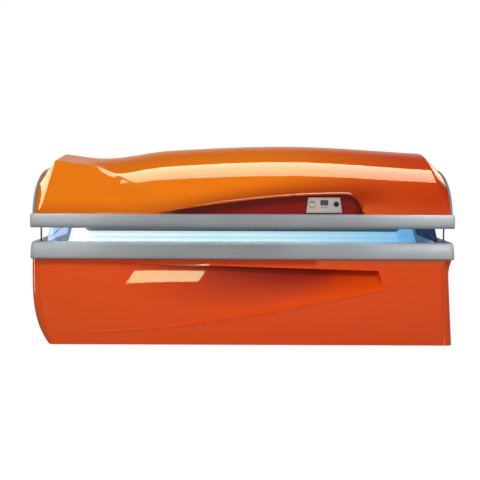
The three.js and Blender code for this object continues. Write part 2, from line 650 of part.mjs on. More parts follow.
// Base structure: pan on four feet, end frames, rear beam and rear deck.
const panFront = frontY(PAN_TOP) + PANEL_WALL + SCOOP_DEPTH;
const panRear = REAR_Y - PANEL_WALL - PANEL_CORNER / 2; // clear of the end panels' rounded corners

function floorPan() {
  const top = FOOT_HEIGHT + PAN_FLANGE;
  const tray = outline([
    [panFront, FOOT_HEIGHT],
    [panRear, FOOT_HEIGHT],
    [panRear, top],
    [panRear - PAN_THICKNESS, top],
    [panRear - PAN_THICKNESS, PAN_TOP],
    [panFront + PAN_THICKNESS, PAN_TOP],
    [panFront + PAN_THICKNESS, top],
    [panFront, top],
  ]);
  const intake = barZ(FAN_RADIUS - 4 * FAN_WALL, FOOT_HEIGHT - 1, PAN_TOP + 1, 24).translate(FAN_X, FAN_Y, 0);
  return cut(prismX(tray, -INSIDE_X, INSIDE_X), intake);
}
add("base_pan", floorPan(), ZINC_STEEL);

const footProfile = [
  [0, 0],
  [FOOT_PAD_RADIUS - 3, 0],
  [FOOT_PAD_RADIUS, 3],
  [FOOT_PAD_RADIUS, FOOT_PAD_HEIGHT - 4],
  [FOOT_STEM_RADIUS + 4, FOOT_PAD_HEIGHT],
  [FOOT_STEM_RADIUS, FOOT_PAD_HEIGHT],
  [FOOT_STEM_RADIUS, FOOT_HEIGHT - SEAT],
  [0, FOOT_HEIGHT - SEAT],
];
for (const [name, side] of SIDES) {
  const x = side * (INSIDE_X - FOOT_INSET_X);
  add(`foot_front_${name}`, turned(footProfile, 16).translate(x, panFront + FOOT_INSET_Y, 0), BLACK_RUBBER);
  add(`foot_rear_${name}`, turned(footProfile, 16).translate(x, panRear - FOOT_INSET_Y, 0), BLACK_RUBBER);
}

const shoulderY = BENCH_REAR_Y - BENCH_SHOULDER;
const frameOutline = outline([
  [RAIL_BACK_Y + SEAT, FOOT_HEIGHT],
  [panRear, FOOT_HEIGHT],
  [panRear, BENCH_REAR_Z],
  [shoulderY, BENCH_REAR_Z],
  [shoulderY - BENCH_REAR_RISE, BASE_RAIL_TOP],
  [RAIL_BACK_Y + SEAT, BASE_RAIL_TOP],
]);
const studEnd = SPRING_X + EYE_WIDTH / 2 + STUD_REACH;
for (const [name, side] of SIDES) {
  const plate = endPrismX(frameOutline, side, FRAME_INNER_X, FRAME_OUTER_X);
  const studSpan = [side * (FRAME_OUTER_X - 1), side * studEnd].sort((a, b) => a - b);
  const stud = barX(STUD_RADIUS, ...studSpan, 16).translate(0, SPRING_PIVOT_Y, SPRING_PIVOT_Z);
  add(`base_${name}_end_frame`, join(plate, stud), PALE_STEEL);
}

function tube(y0, y1, z0, z1, sheet) {
  const shape = outline([[y0, z0], [y1, z0], [y1, z1], [y0, z1]]);
  const hollow = [[y0 + sheet, z0 + sheet], [y0 + sheet, z1 - sheet], [y1 - sheet, z1 - sheet], [y1 - sheet, z0 + sheet]];
  shape.holes.push(new THREE.Path(hollow.map(([y, z]) => new THREE.Vector2(y, z))));
  return shape;
}
const beamTop = deckBottom - SEAT;
const beamFront = HINGE_Y - REAR_BEAM_DEPTH / 2;
add(
  "base_rear_beam",
  prismX(tube(beamFront, beamFront + REAR_BEAM_DEPTH, beamTop - REAR_BEAM_HEIGHT, beamTop, DECK_SHEET), -INSIDE_X, INSIDE_X),
  FRAME_STEEL,
);
add(
  "base_rear_deck",
  prismX(
    outline([
      [DECK_FRONT_Y, deckBottom],
      [REAR_Y, deckBottom],
      [REAR_Y, DECK_TOP],
      [DECK_FRONT_Y + DECK_SHEET, DECK_TOP],
      [DECK_FRONT_Y + DECK_SHEET, BENCH_REAR_Z],
      [DECK_FRONT_Y, BENCH_REAR_Z],
    ]),
    -INSIDE_X,
    INSIDE_X,
  ),
  GREY_PLASTIC,
);

// Bench: a hollowed clear sheet over lamps, lamp holders at both ends and a reflector beneath.
function benchZ(y) {
  const rise = y < BENCH_LOW_Y ? BENCH_DIP - BENCH_FRONT_DROP : BENCH_DIP + BENCH_REAR_RISE;
  const run = y < BENCH_LOW_Y ? BENCH_LOW_Y - BENCH_FRONT_Y : BENCH_REAR_Y - BENCH_LOW_Y;
  return BENCH_LOW_Z + rise * ((y - BENCH_LOW_Y) / run) ** 2;
}

function benchCurve(y0, y1, steps) {
  const points = [];
  for (let i = 0; i <= steps; i++) {
    const y = THREE.MathUtils.lerp(y0, y1, i / steps);
    points.push([y, benchZ(y)]);
  }
  return points;
}

const benchTopCurve = benchCurve(BENCH_FRONT_Y, BENCH_REAR_Y, BENCH_STEPS);
const benchUnderside = benchTopCurve.map(([y, z]) => [y, z - BENCH_SHEET]);
add("bench_acrylic", prismX(band(benchUnderside, benchTopCurve), -INSIDE_X, INSIDE_X), CLEAR_ACRYLIC);

const bedCurve = benchCurve(BENCH_FRONT_Y + HOLDER_MARGIN, BENCH_REAR_Y - HOLDER_MARGIN, BENCH_STEPS);
const bedOffset = (depth) => offsetCurve(bedCurve, -(BENCH_SHEET + depth));
add(
  "bench_reflector",
  prismX(band(bedOffset(REFLECTOR_OFFSET + REFLECTOR_SHEET), bedOffset(REFLECTOR_OFFSET)), -LAMP_HALF, LAMP_HALF),
  BRIGHT_ALUMINIUM,
);
const holderDepth = REFLECTOR_OFFSET + REFLECTOR_SHEET + HOLDER_BASE;
for (const [name, side] of SIDES) {
  const block = band(bedOffset(holderDepth), bedOffset(1));
  add(`bench_${name}_lampholder`, endPrismX(block, side, HOLDER_INNER_X, INSIDE_X), HOLDER_PLASTIC);
}

const lampProfile = [
  [0, -LAMP_HALF],
  [LAMP_RADIUS - 1, -LAMP_HALF],
  [LAMP_RADIUS - 1, -LAMP_HALF + LAMP_CAP_LENGTH],
  [LAMP_RADIUS, -LAMP_HALF + LAMP_CAP_LENGTH],
  [LAMP_RADIUS, LAMP_HALF - LAMP_CAP_LENGTH],
  [LAMP_RADIUS - 1, LAMP_HALF - LAMP_CAP_LENGTH],
  [LAMP_RADIUS - 1, LAMP_HALF],
  [0, LAMP_HALF],
];
const lamp = () => turned(lampProfile, LAMP_SIDES).rotateY(Math.PI / 2);
for (let i = 0; i < BENCH_LAMPS; i++) {
  const share = i / (BENCH_LAMPS - 1);
  const y = THREE.MathUtils.lerp(BENCH_FRONT_Y + BENCH_LAMP_MARGIN, BENCH_REAR_Y - BENCH_LAMP_MARGIN, share);
  const near = benchCurve(y - 1, y + 1, 2);
  const [axisY, axisZ] = offsetCurve(near, -(BENCH_SHEET + LAMP_OFFSET))[1];
  add(`bench_lamp_${i + 1}`, lamp().translate(0, axisY, axisZ), LAMP_GLASS);
}

// End screens: upright sheets on the end decks, with a leaning front edge.
const screenFoot = BASE_RAIL_TOP + SEAT;
const screenTop = CANOPY_BOTTOM - SCREEN_HEADROOM;
const screenFront = RAIL_BACK_Y + SCREEN_FOOT;
const screenX = FRAME_OUTER_X + SCREEN_GAP;
for (const [name, side] of SIDES) {
  const sheet = outline([
    [screenFront, screenFoot],
    [SCREEN_REAR_Y, screenFoot],
    [SCREEN_REAR_Y, screenTop],
    [screenFront + SCREEN_LEAN, screenTop],
    [screenFront, screenFoot + SCREEN_FOOT],
  ]);
  add(`${name}_end_screen`, endPrismX(sheet, side, screenX, screenX + SCREEN_THICKNESS), CLEAR_ACRYLIC);
}

// Fan: a housing with its motor on the pan's intake, and a bladed impeller on the spindle.
const fanFloor = PAN_TOP + SEAT;
const motorTop = fanFloor + FAN_MOTOR_HEIGHT;

function fanHousing() {
  const ring = turned(
    [
      [FAN_RADIUS - FAN_WALL, fanFloor],
      [FAN_RADIUS, fanFloor],
      [FAN_RADIUS, fanFloor + FAN_HEIGHT],
      [FAN_RADIUS - FAN_WALL, fanFloor + FAN_HEIGHT],
      [FAN_RADIUS - FAN_WALL, fanFloor],
    ],
    32,
  );
  const motor = barZ(FAN_HUB_RADIUS, fanFloor, motorTop, 20);
  const spindle = barZ(FAN_SPINDLE_RADIUS, motorTop - 1, fanFloor + FAN_HEIGHT, 12);
  const spokes = [0, 1, 2].map((i) =>
    box(0, FAN_RADIUS - FAN_WALL / 2, -FAN_SPOKE_WIDTH / 2, FAN_SPOKE_WIDTH / 2, fanFloor, fanFloor + FAN_SPOKE_WIDTH / 2)
      .rotateZ((i * 2 * Math.PI) / 3),
  );
  return join(ring, motor, spindle, ...spokes);
}
add("fan_housing", fanHousing().translate(FAN_X, FAN_Y, 0), BLACK_PLASTIC);

function fanImpeller() {
  const low = motorTop + 2;
  const high = fanFloor + FAN_HEIGHT - FAN_TIP_GAP;
  const middle = (low + high) / 2;
  const tip = FAN_RADIUS - FAN_WALL - FAN_TIP_GAP;
  const chord = (high - low) / Math.sin(THREE.MathUtils.degToRad(FAN_BLADE_PITCH));
  const blades = [];
  for (let i = 0; i < FAN_BLADES; i++) {
    const blade = new THREE.BoxGeometry(tip - FAN_HUB_RADIUS + 6, chord * 0.8, FAN_BLADE_THICKNESS);
    blade.rotateX(THREE.MathUtils.degToRad(FAN_BLADE_PITCH));
    blade.translate((tip + FAN_HUB_RADIUS - 6) / 2 - 4, 0, middle);
    blades.push(blade.rotateZ((i * 2 * Math.PI) / FAN_BLADES));
  }
  const hub = barZ(FAN_HUB_RADIUS, low, high, 20);
  return cut(join(hub, ...blades), barZ(FAN_SPINDLE_RADIUS + RUNNING, low - 1, high + 1, 12));
}
add("fan_impeller", fanImpeller().translate(FAN_X, FAN_Y, 0), BLACK_PLASTIC);

// Ballast rack: lamp ballasts in a row on a common tray.
function ballastRack() {
  const span = BALLAST_PITCH * BALLASTS;
  const tray = box(-span / 2, span / 2, -BALLAST_LENGTH / 2, BALLAST_LENGTH / 2, 0, BALLAST_TRAY);
  const blocks = [];
  for (let i = 0; i < BALLASTS; i++) {
    const x = (i + 0.5) * BALLAST_PITCH - span / 2;
    const half = BALLAST_LENGTH / 2 - BALLAST_MARGIN;
    blocks.push(box(x - BALLAST_WIDTH / 2, x + BALLAST_WIDTH / 2, -half, half, BALLAST_TRAY - 1, BALLAST_HEIGHT));
  }
  return join(tray, ...blocks);
}
add("ballast_rack", ballastRack().translate(BALLAST_X, FAN_Y, PAN_TOP + SEAT), ZINC_STEEL);

// Mains gland on the rear panel.
const glandProfile = [
  [GLAND_BORE, 0],
  [GLAND_RADIUS, 0],
  [GLAND_RADIUS, GLAND_LENGTH * 0.4],
  [GLAND_RADIUS - 4, GLAND_LENGTH],
  [GLAND_BORE, GLAND_LENGTH],
  [GLAND_BORE, 0],
];
add(
  "mains_gland",
  turned(glandProfile, 20).rotateX(-Math.PI / 2).translate(GLAND_X, REAR_Y + SEAT, GLAND_Z),
  BLACK_PLASTIC,
);

// Rear hinge: brackets and pins on the base, arms under the canopy's rear beam.
const hingeBase = DECK_TOP + SEAT;
const bore = HINGE_PIN_RADIUS + SEAT;

function pinHole() {
  return new THREE.Path().absarc(HINGE_Y, HINGE_Z, bore, 0, 2 * Math.PI, true);
}

function hingeBracket() {
  const half = HINGE_FOOT_LENGTH / 2;
  const cheek = new THREE.Shape();
  cheek.moveTo(HINGE_Y - half, hingeBase);
  cheek.lineTo(HINGE_Y + half, hingeBase);
  cheek.absarc(HINGE_Y, HINGE_Z, HINGE_KNUCKLE_RADIUS, 0, Math.PI, false);
  cheek.closePath();
  cheek.holes.push(pinHole());
  const inner = HINGE_KNUCKLE_WIDTH / 2;
  const outer = inner + HINGE_CHEEK;
  const foot = box(-outer, outer, HINGE_Y - half, HINGE_Y + half, hingeBase, hingeBase + HINGE_FOOT);
  return join(prismX(cheek, -outer, -inner), prismX(cheek, inner, outer), foot);
}

function hingeArm() {
  const shape = new THREE.Shape();
  const top = REAR_RAIL_BOTTOM - SEAT;
  const half = HINGE_KNUCKLE_RADIUS * 1.4;
  shape.moveTo(HINGE_Y + half, top);
  shape.lineTo(HINGE_Y - half, top);
  shape.absarc(HINGE_Y, HINGE_Z, HINGE_KNUCKLE_RADIUS, Math.PI, 2 * Math.PI, false);
  shape.closePath();
  shape.holes.push(pinHole());
  const width = HINGE_KNUCKLE_WIDTH / 2 - RUNNING;
  return prismX(shape, -width, width);
}

const pinHalf = HINGE_KNUCKLE_WIDTH / 2 + HINGE_CHEEK + SEAT;
const pinProfile = [
  [0, -pinHalf - HINGE_HEAD],
  [HINGE_PIN_RADIUS + HINGE_HEAD_LIP, -pinHalf - HINGE_HEAD],
  [HINGE_PIN_RADIUS + HINGE_HEAD_LIP, -pinHalf],
  [HINGE_PIN_RADIUS, -pinHalf],
  [HINGE_PIN_RADIUS, pinHalf],
  [HINGE_PIN_RADIUS + HINGE_HEAD_LIP, pinHalf],
  [HINGE_PIN_RADIUS + HINGE_HEAD_LIP, pinHalf + HINGE_HEAD],
  [0, pinHalf + HINGE_HEAD],
];
for (const [name, side] of SIDES) {
  const x = side * HINGE_X;
  add(`hinge_bracket_${name}`, hingeBracket().translate(x, 0, 0), FRAME_STEEL);
  add(`hinge_arm_${name}`, hingeArm().translate(x, 0, 0), FRAME_STEEL);
  const pin = turned(pinProfile, 16).rotateY(Math.PI / 2).translate(x, HINGE_Y, HINGE_Z);
  add(`hinge_pin_${name}`, pin, ZINC_STEEL);
}

// Gas springs: each cylinder turns on its stud, each rod slides in its cylinder.
const cylinderEnd = springLength - EYE_RADIUS - ROD_SHOWN;
const rodEnd = CYLINDER_END + ROD_END_GAP;
for (const [name, side] of SIDES) {
  const spring = new THREE.Group();
  spring.position.set(side * SPRING_X, SPRING_PIVOT_Y, SPRING_PIVOT_Z);
  spring.rotation.x = springLean;
  bed.add(spring);
  const half = EYE_WIDTH / 2;
  const body = join(barZ(CYLINDER_RADIUS, EYE_RADIUS - 4, cylinderEnd, 16), barX(EYE_RADIUS, -half, half, 16));
  const rodBore = barZ(ROD_RADIUS + RUNNING, CYLINDER_END, cylinderEnd + 1, 16);
  const studBore = barX(STUD_RADIUS + RUNNING, -half - 1, half + 1, 16);
  add(`gas_spring_cylinder_${name}`, cut(body, rodBore, studBore), BLACK_PLASTIC, spring);
  const eye = barX(EYE_RADIUS - 1, -half, half, 16).translate(0, 0, springLength);
  add(`gas_spring_rod_${name}`, join(barZ(ROD_RADIUS, rodEnd, springLength - 4, 16), eye), CHROME, spring);
}

// Canopy shell: an arch whose crown rises and falls along the bed, creased near both ends.
const crownSpline = new THREE.CubicInterpolant(
  [
    -LEFT_CROWN_X,
    -HALF_LENGTH + CROWN_DIP_INSET,
    -HALF_LENGTH + CROWN_RISE_INSET,
    HALF_LENGTH - CROWN_TOP_INSET,
    RIGHT_CROWN_X,
  ],
  [
    CROWN_TOP - CROWN_LEFT_DROP,
    CROWN_TOP - CROWN_DIP_DROP,
    CROWN_TOP - CROWN_RISE_DROP,
    CROWN_TOP,
    CROWN_TOP - CROWN_RIGHT_DROP,
  ],
  1,
);
const crownAt = (x) => crownSpline.evaluate(x)[0];
const shellHalfDepth = HALF_DEPTH - SHELL_INSET;
const shellFoot = CANOPY_RAIL_TOP + SEAT;
const recessY = NOSE_Y + RECESS_INSET;

// Height of the recess's ledge above the shell's foot: a rising sweep with a hooked right end.
function ledgeHeight(x) {
  const turn = RECESS_RIGHT - RECESS_HOOK;
  const sweep = THREE.MathUtils.clamp((x - RECESS_LEFT) / (turn - RECESS_LEFT), 0, 1);
  const hook = THREE.MathUtils.clamp((x - turn) / RECESS_HOOK, 0, 1);
  return Math.max(3 * RECESS_LEDGE, RECESS_HEIGHT * Math.sin((sweep * Math.PI) / 2) * Math.sqrt(1 - hook ** 2));
}
const recessShare = (x) => (x >= RECESS_RIGHT ? 0 : smooth((x - RECESS_LEFT) / RECESS_RAMP));

function shellStations() {
  const end = CAP_INNER_X - SEAT;
  const stations = [-end];
  for (let i = 0; i <= SHELL_STATIONS; i++) {
    stations.push(THREE.MathUtils.lerp(-LEFT_FOOT_X, RIGHT_FOOT_X, i / SHELL_STATIONS));
  }
  stations.push(end);
  const hook = [RECESS_RIGHT - RECESS_HOOK * 0.5, RECESS_RIGHT - RECESS_HOOK * 0.1, RECESS_RIGHT];
  const clear = stations.filter((x) => hook.every((h) => Math.abs(x - h) > RECESS_HOOK * 0.3));
  return [...clear, ...hook].sort((a, b) => a - b);
}

// Near the left end the arch flattens into a straight slope with a rounded shoulder and a flat top.
function shoulderShare(x, z) {
  const rise = THREE.MathUtils.clamp(z - SHOULDER_HEIGHT, -SHOULDER_LEAN_DOWN, SHOULDER_LEAN_UP);
  const crease = -HALF_LENGTH + SHOULDER_INSET - rise * SHOULDER_LEAN;
  return THREE.MathUtils.clamp((crease - x) / SHOULDER_RUN, 0, 1);
}
function shoulderHeight(y, halfDepth, crown) {
  const slope = (halfDepth - Math.abs(y)) * SHOULDER_SLOPE;
  const top = crown - Math.abs(y) * SHOULDER_FALL;
  const near = Math.max(SHOULDER_ROUND - Math.abs(slope - top), 0) / SHOULDER_ROUND;
  return Math.min(slope, top) - (near ** 2 * SHOULDER_ROUND) / 4;
}

// One row of the shell across the bed, moved outwards by a lift; the first four points shape the recess.
function shellRow(x, lift) {
  const [crownX, footX] = x < 0 ? [LEFT_CROWN_X, LEFT_FOOT_X] : [RIGHT_CROWN_X, RIGHT_FOOT_X];
  const isEnd = Math.abs(x) > footX + 1;
  const crown = isEnd ? END_CAP_CROWN - END_CAP_REVEAL : crownAt((x * crownX) / footX);
  const isLeftEnd = isEnd && x < 0;
  const share = (z) => (isEnd ? 0 : shoulderShare(x, z));
  const ledge = ledgeHeight(x);
  const start = Math.asin(ledge / crown);
  const place = (y, z) => {
    const lean = isEnd ? 0 : (x * (footX - crownX) * z) / crown / footX;
    return new THREE.Vector3(x - lean, y, shellFoot + z);
  };
  const frontY = (z) => {
    const arched = shellHalfDepth * Math.cos(Math.asin(z / crown));
    if (isLeftEnd) return -Math.min(arched, shellHalfDepth - z / LEFT_END_SLOPE);
    return -THREE.MathUtils.lerp(arched, shellHalfDepth - z / SHOULDER_SLOPE, share(z));
  };
  const roof = lift < 0 && recessShare(x) > 0 ? -lift : 0;
  const row = [0, ledge / 2, ledge - RECESS_LEDGE].map((z) => {
    const y = THREE.MathUtils.lerp(frontY(z), recessY, recessShare(x));
    return place(y - lift, z > ledge / 2 ? z + roof : z);
  });
  row.push(place(frontY(ledge) - lift, ledge + roof));
  const halfDepth = shellHalfDepth + lift;
  for (let k = 1; k <= SHELL_ARCH_STEPS; k++) {
    const angle = THREE.MathUtils.lerp(start, Math.PI, k / SHELL_ARCH_STEPS);
    const y = -halfDepth * Math.cos(angle);
    const arched = (crown + lift) * Math.sin(angle);
    const sloped = shoulderHeight(y, halfDepth, crown + lift);
    const cut = isLeftEnd ? (halfDepth - Math.abs(y)) * LEFT_END_SLOPE : Infinity;
    row.push(place(y, Math.min(THREE.MathUtils.lerp(arched, sloped, share(arched)), cut)));
  }
  return row;
}

const stations = shellStations();
add(
  "canopy_shell",
  wall(
    stations.map((x) => shellRow(x, 0)),
    stations.map((x) => shellRow(x, -SHELL_WALL)),
  ),
  ORANGE_PAINT,
);

// Exhaust vent: a low cover lying on the shell behind its crown.
const ventRows = stations.filter((x) => x > VENT_LEFT && x < VENT_RIGHT);
const ventPart = (lift) => ventRows.map((x) => shellRow(x, lift).slice(VENT_FIRST_STEP, VENT_LAST_STEP + 1));
add("exhaust_vent", wall(ventPart(VENT_LIFT), ventPart(2 * SEAT)), GREY_PLASTIC);

// End caps: half-oval plates that carry the rail round the ends and hold the gas springs' upper studs.
for (const [name, side] of SIDES) {
  const crown = new THREE.EllipseCurve(0, CANOPY_RAIL_TOP, shellHalfDepth + END_CAP_REVEAL, END_CAP_CROWN, Math.PI, 0, true);
  const arch = points2(crown, 2 * SHELL_ARCH_STEPS);
  const nose = canopyNose.slice(0, -1);
  const side2 = outline([...nose, ...arch, ...mirrored(nose)].reverse());
  const across = [side * (CAP_INNER_X - 1), side * (HALF_LENGTH + 1)].sort((a, b) => a - b);
  const plan = endPlan(side, CAP_INNER_X, HALF_LENGTH, END_CAP_THICKNESS * 0.8);
  const top = CANOPY_RAIL_TOP + END_CAP_CROWN + 1;
  const whole = solid(prismZ(plan, CANOPY_BOTTOM - 1, top)).intersect(solid(prismX(side2, ...across)));
  const thinned = [side * (CAP_INNER_X + END_CAP_PLATE), side * (HALF_LENGTH + 1)].sort((a, b) => a - b);
  const plate = whole.subtract(solid(box(...thinned, NOSE_Y, HALF_DEPTH, CANOPY_RAIL_TOP, top + 1)));
  const studSpan = [side * (SPRING_X + EYE_WIDTH / 2 + SEAT), side * (CAP_INNER_X + 1)].sort((a, b) => a - b);
  const stud = barX(STUD_RADIUS + 1, ...studSpan, 16).translate(0, SPRING_TOP_Y, SPRING_TOP_Z);
  add(`canopy_${name}_end_cap`, geometryOf(plate.add(solid(stud))), GREY_PLASTIC);
}

// Canopy inside: rear beam, clear arch, lamps, lamp holders and reflector.
add(
  "canopy_rear_beam",
  prismX(
    tube(REAR_RAIL_FRONT_Y, REAR_RAIL_FRONT_Y + REAR_RAIL_DEPTH, REAR_RAIL_BOTTOM, CANOPY_RAIL_TOP, DECK_SHEET),
    -canopyRailSpan,
    canopyRailSpan,
  ),
  FRAME_STEEL,
);

function arch(span, rise, foot, from = 0, to = 180) {
  const points = [];
  for (let i = 0; i <= ARCH_STEPS; i++) {
    const angle = THREE.MathUtils.degToRad(THREE.MathUtils.lerp(from, to, i / ARCH_STEPS));
    points.push([ARCH_MIDDLE_Y - span * Math.cos(angle), foot + rise * Math.sin(angle)]);
  }
  return points;
}

const sheetTop = ARCH_FOOT_Z + CANOPY_SHEET;
const archOuter = ARCH_HALF_SPAN + CANOPY_SHEET;
const flangeFront = RAIL_BACK_Y + SEAT;
const flangeRear = REAR_RAIL_FRONT_Y - SEAT;
const sheetInside = [[flangeFront, ARCH_FOOT_Z], ...arch(ARCH_HALF_SPAN, ARCH_RISE, ARCH_FOOT_Z), [flangeRear, ARCH_FOOT_Z]];
const sheetOutside = [[flangeFront, sheetTop], ...arch(archOuter, ARCH_RISE, sheetTop), [flangeRear, sheetTop]];
add("canopy_acrylic", prismX(band(sheetInside, sheetOutside), -FRAME_OUTER_X, FRAME_OUTER_X), CLEAR_ACRYLIC);

const reflectorArch = (lift) =>
  arch(archOuter + REFLECTOR_OFFSET + lift, ARCH_RISE + REFLECTOR_OFFSET + lift, sheetTop, 4, 176);
add(
  "canopy_reflector",
  prismX(band(reflectorArch(0), reflectorArch(REFLECTOR_SHEET)), -LAMP_HALF, LAMP_HALF),
  BRIGHT_ALUMINIUM,
);
const holderFoot = sheetTop + SEAT;
const holderSpan = (flangeRear - flangeFront) / 2;
for (const [name, side] of SIDES) {
  const block = band(arch(archOuter + 2 * SEAT, ARCH_RISE + SEAT, holderFoot), arch(holderSpan, ARCH_RISE + holderDepth, holderFoot));
  add(`canopy_${name}_lampholder`, endPrismX(block, side, HOLDER_INNER_X, FRAME_OUTER_X), HOLDER_PLASTIC);
}
for (let i = 0; i < CANOPY_LAMPS; i++) {
  const share = i / (CANOPY_LAMPS - 1);
  const angle = THREE.MathUtils.degToRad(THREE.MathUtils.lerp(CANOPY_LAMP_MARGIN, 180 - CANOPY_LAMP_MARGIN, share));
  const y = ARCH_MIDDLE_Y - (archOuter + LAMP_OFFSET) * Math.cos(angle);
  const z = sheetTop + (ARCH_RISE + LAMP_OFFSET) * Math.sin(angle);
  add(`canopy_lamp_${i + 1}`, lamp().translate(0, y, z), LAMP_GLASS);
}

// Control panel in the recess, with its knob, display and button.
const faceY = NOSE_Y + PANEL_FACE_INSET;
const panelFoot = shellFoot + PANEL_LIFT;
const controlZ = panelFoot + CONTROL_HEIGHT;
const knobX = PANEL_X - CONTROL_SPACING;
const buttonX = PANEL_X + CONTROL_SPACING;

function controlPanel() {
  const face = outline([
    [PANEL_X - PANEL_BOTTOM_WIDTH / 2, panelFoot],
    [PANEL_X + PANEL_BOTTOM_WIDTH / 2, panelFoot],
    [PANEL_X + PANEL_TOP_WIDTH / 2, panelFoot + PANEL_HEIGHT],
    [PANEL_X - PANEL_TOP_WIDTH / 2, panelFoot + PANEL_HEIGHT],
  ]);
  const pocket = barY(BUTTON_RADIUS + RUNNING, faceY - 1, faceY + BUTTON_POCKET, 24).translate(buttonX, 0, controlZ);
  const window = displayBox(SEAT, 1);
  return cut(prismY(face, faceY, recessY - SEAT), pocket, window);
}

function displayBox(margin, proud) {
  const halfWidth = DISPLAY_WIDTH / 2 + margin;
  const halfHeight = DISPLAY_HEIGHT / 2 + margin;
  const z = controlZ + DISPLAY_LIFT;
  return box(PANEL_X - halfWidth, PANEL_X + halfWidth, faceY - proud, faceY + DISPLAY_SHEET + margin, z - halfHeight, z + halfHeight);
}
add("control_panel", controlPanel(), SATIN_SILVER);
add("display_window", displayBox(0, 0.5), DARK_GLASS);

const knobProfile = [
  [0, 0],
  [KNOB_RADIUS, 0],
  [KNOB_RADIUS, KNOB_DEPTH * 0.4],
  [KNOB_RADIUS * 0.8, KNOB_DEPTH],
  [0, KNOB_DEPTH],
];
const pointer = box(
  -KNOB_POINTER / 2,
  KNOB_POINTER / 2,
  0,
  KNOB_RADIUS * 0.7,
  KNOB_DEPTH - 1,
  KNOB_DEPTH + KNOB_POINTER / 2,
);
const knob = join(turned(knobProfile, 24), pointer).rotateX(Math.PI / 2);
add("timer_knob", knob.translate(knobX, faceY - SEAT, controlZ), CHROME);
add(
  "start_button",
  barY(BUTTON_RADIUS, faceY - BUTTON_PROUD, faceY + BUTTON_ROOT, 24).translate(buttonX, 0, controlZ),
  BLACK_PLASTIC,
);

export default bed;
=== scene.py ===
# %% [markdown]
# # A clamshell tanning bed
# A moulded base and a moulded canopy meet at two silver rails, with a bank of lamps behind a clear
# sheet in each half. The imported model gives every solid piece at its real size. This lesson dresses
# those pieces, so it begins by loading them and keeping the size of the box they fill.

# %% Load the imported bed
import math

import bmesh
import bpy
from mathutils import Matrix, Vector


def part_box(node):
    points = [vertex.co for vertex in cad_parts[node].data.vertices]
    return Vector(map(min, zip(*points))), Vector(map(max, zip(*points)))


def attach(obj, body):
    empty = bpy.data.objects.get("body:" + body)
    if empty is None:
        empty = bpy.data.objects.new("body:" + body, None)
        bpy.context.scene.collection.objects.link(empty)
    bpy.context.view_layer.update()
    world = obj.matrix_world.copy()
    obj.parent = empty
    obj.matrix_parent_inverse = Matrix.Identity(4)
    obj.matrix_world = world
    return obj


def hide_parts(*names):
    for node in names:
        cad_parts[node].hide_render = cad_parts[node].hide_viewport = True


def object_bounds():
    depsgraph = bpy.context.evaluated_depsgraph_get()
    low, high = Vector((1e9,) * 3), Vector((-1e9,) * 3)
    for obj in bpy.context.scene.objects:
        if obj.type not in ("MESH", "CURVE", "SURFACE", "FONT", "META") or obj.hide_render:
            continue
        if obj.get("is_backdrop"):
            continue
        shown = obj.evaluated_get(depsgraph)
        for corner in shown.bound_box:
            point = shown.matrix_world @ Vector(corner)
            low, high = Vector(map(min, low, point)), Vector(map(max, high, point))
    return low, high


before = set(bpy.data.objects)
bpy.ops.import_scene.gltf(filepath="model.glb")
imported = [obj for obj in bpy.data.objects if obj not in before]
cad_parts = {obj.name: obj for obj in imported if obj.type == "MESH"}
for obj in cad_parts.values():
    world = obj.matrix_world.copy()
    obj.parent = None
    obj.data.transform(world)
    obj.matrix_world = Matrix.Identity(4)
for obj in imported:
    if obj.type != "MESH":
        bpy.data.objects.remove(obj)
cad_low, cad_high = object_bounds()
scene = bpy.context.scene
scene.view_settings.view_transform = "Standard"
print("solids:", len(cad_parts), "box:", [round(v, 3) for v in (*cad_low, *cad_high)])

# %% [markdown]
# ## The viewer's place
# The bed is seen almost square from the front, from far off and a little above the rails. A long lens
# keeps the two ends nearly parallel. The camera comes first, because every later choice is judged
# through it.

# %% Camera
NOSE_Y = -0.590
VIEW_DISTANCE = 6.7
EYE_X, EYE_HEIGHT = -0.013, 0.978
LENS_LENGTH = 94.9
LOOK_DOWN = 3.45
LENS_ROLL = 0.22

lens = bpy.data.cameras.new("viewer")
lens.lens = LENS_LENGTH
lens.sensor_width = 36
camera = bpy.data.objects.new("viewer", lens)
scene.collection.objects.link(camera)
camera.location = (EYE_X, NOSE_Y - VIEW_DISTANCE, EYE_HEIGHT)
tilt = Matrix.Rotation(math.radians(90 - LOOK_DOWN), 3, "X")
roll = Matrix.Rotation(math.radians(LENS_ROLL), 3, "Z")
camera.rotation_euler = (tilt @ roll).to_euler()
scene.camera = camera
print("camera at", [round(v, 3) for v in camera.location])

# %% [markdown]
# ## Studio
# The room has white walls and a dim ceiling, as seen by the eye and by mirrors, while the light that it
# sheds on the bed is set apart, so that colours come out as they are written. A Light Path node tells
# the two kinds of ray apart, and the height of the ray's direction tells wall from ceiling. The dim
# ceiling matters: a white one would wash the glossy orange out.

# %% White room
AMBIENT = 0.36
CEILING = 0.10


def seen_directly(tree):
    """1 for rays that look at, mirror or look through to a surface, 0 for rays that only light it."""
    path = tree.nodes.new("ShaderNodeLightPath")
    sight = path.outputs["Is Camera Ray"]
    for other in ("Is Glossy Ray", "Is Transmission Ray"):
        either = tree.nodes.new("ShaderNodeMath")
        either.operation = "MAXIMUM"
        tree.links.new(sight, either.inputs[0])
        tree.links.new(path.outputs[other], either.inputs[1])
        sight = either.outputs[0]
    return sight


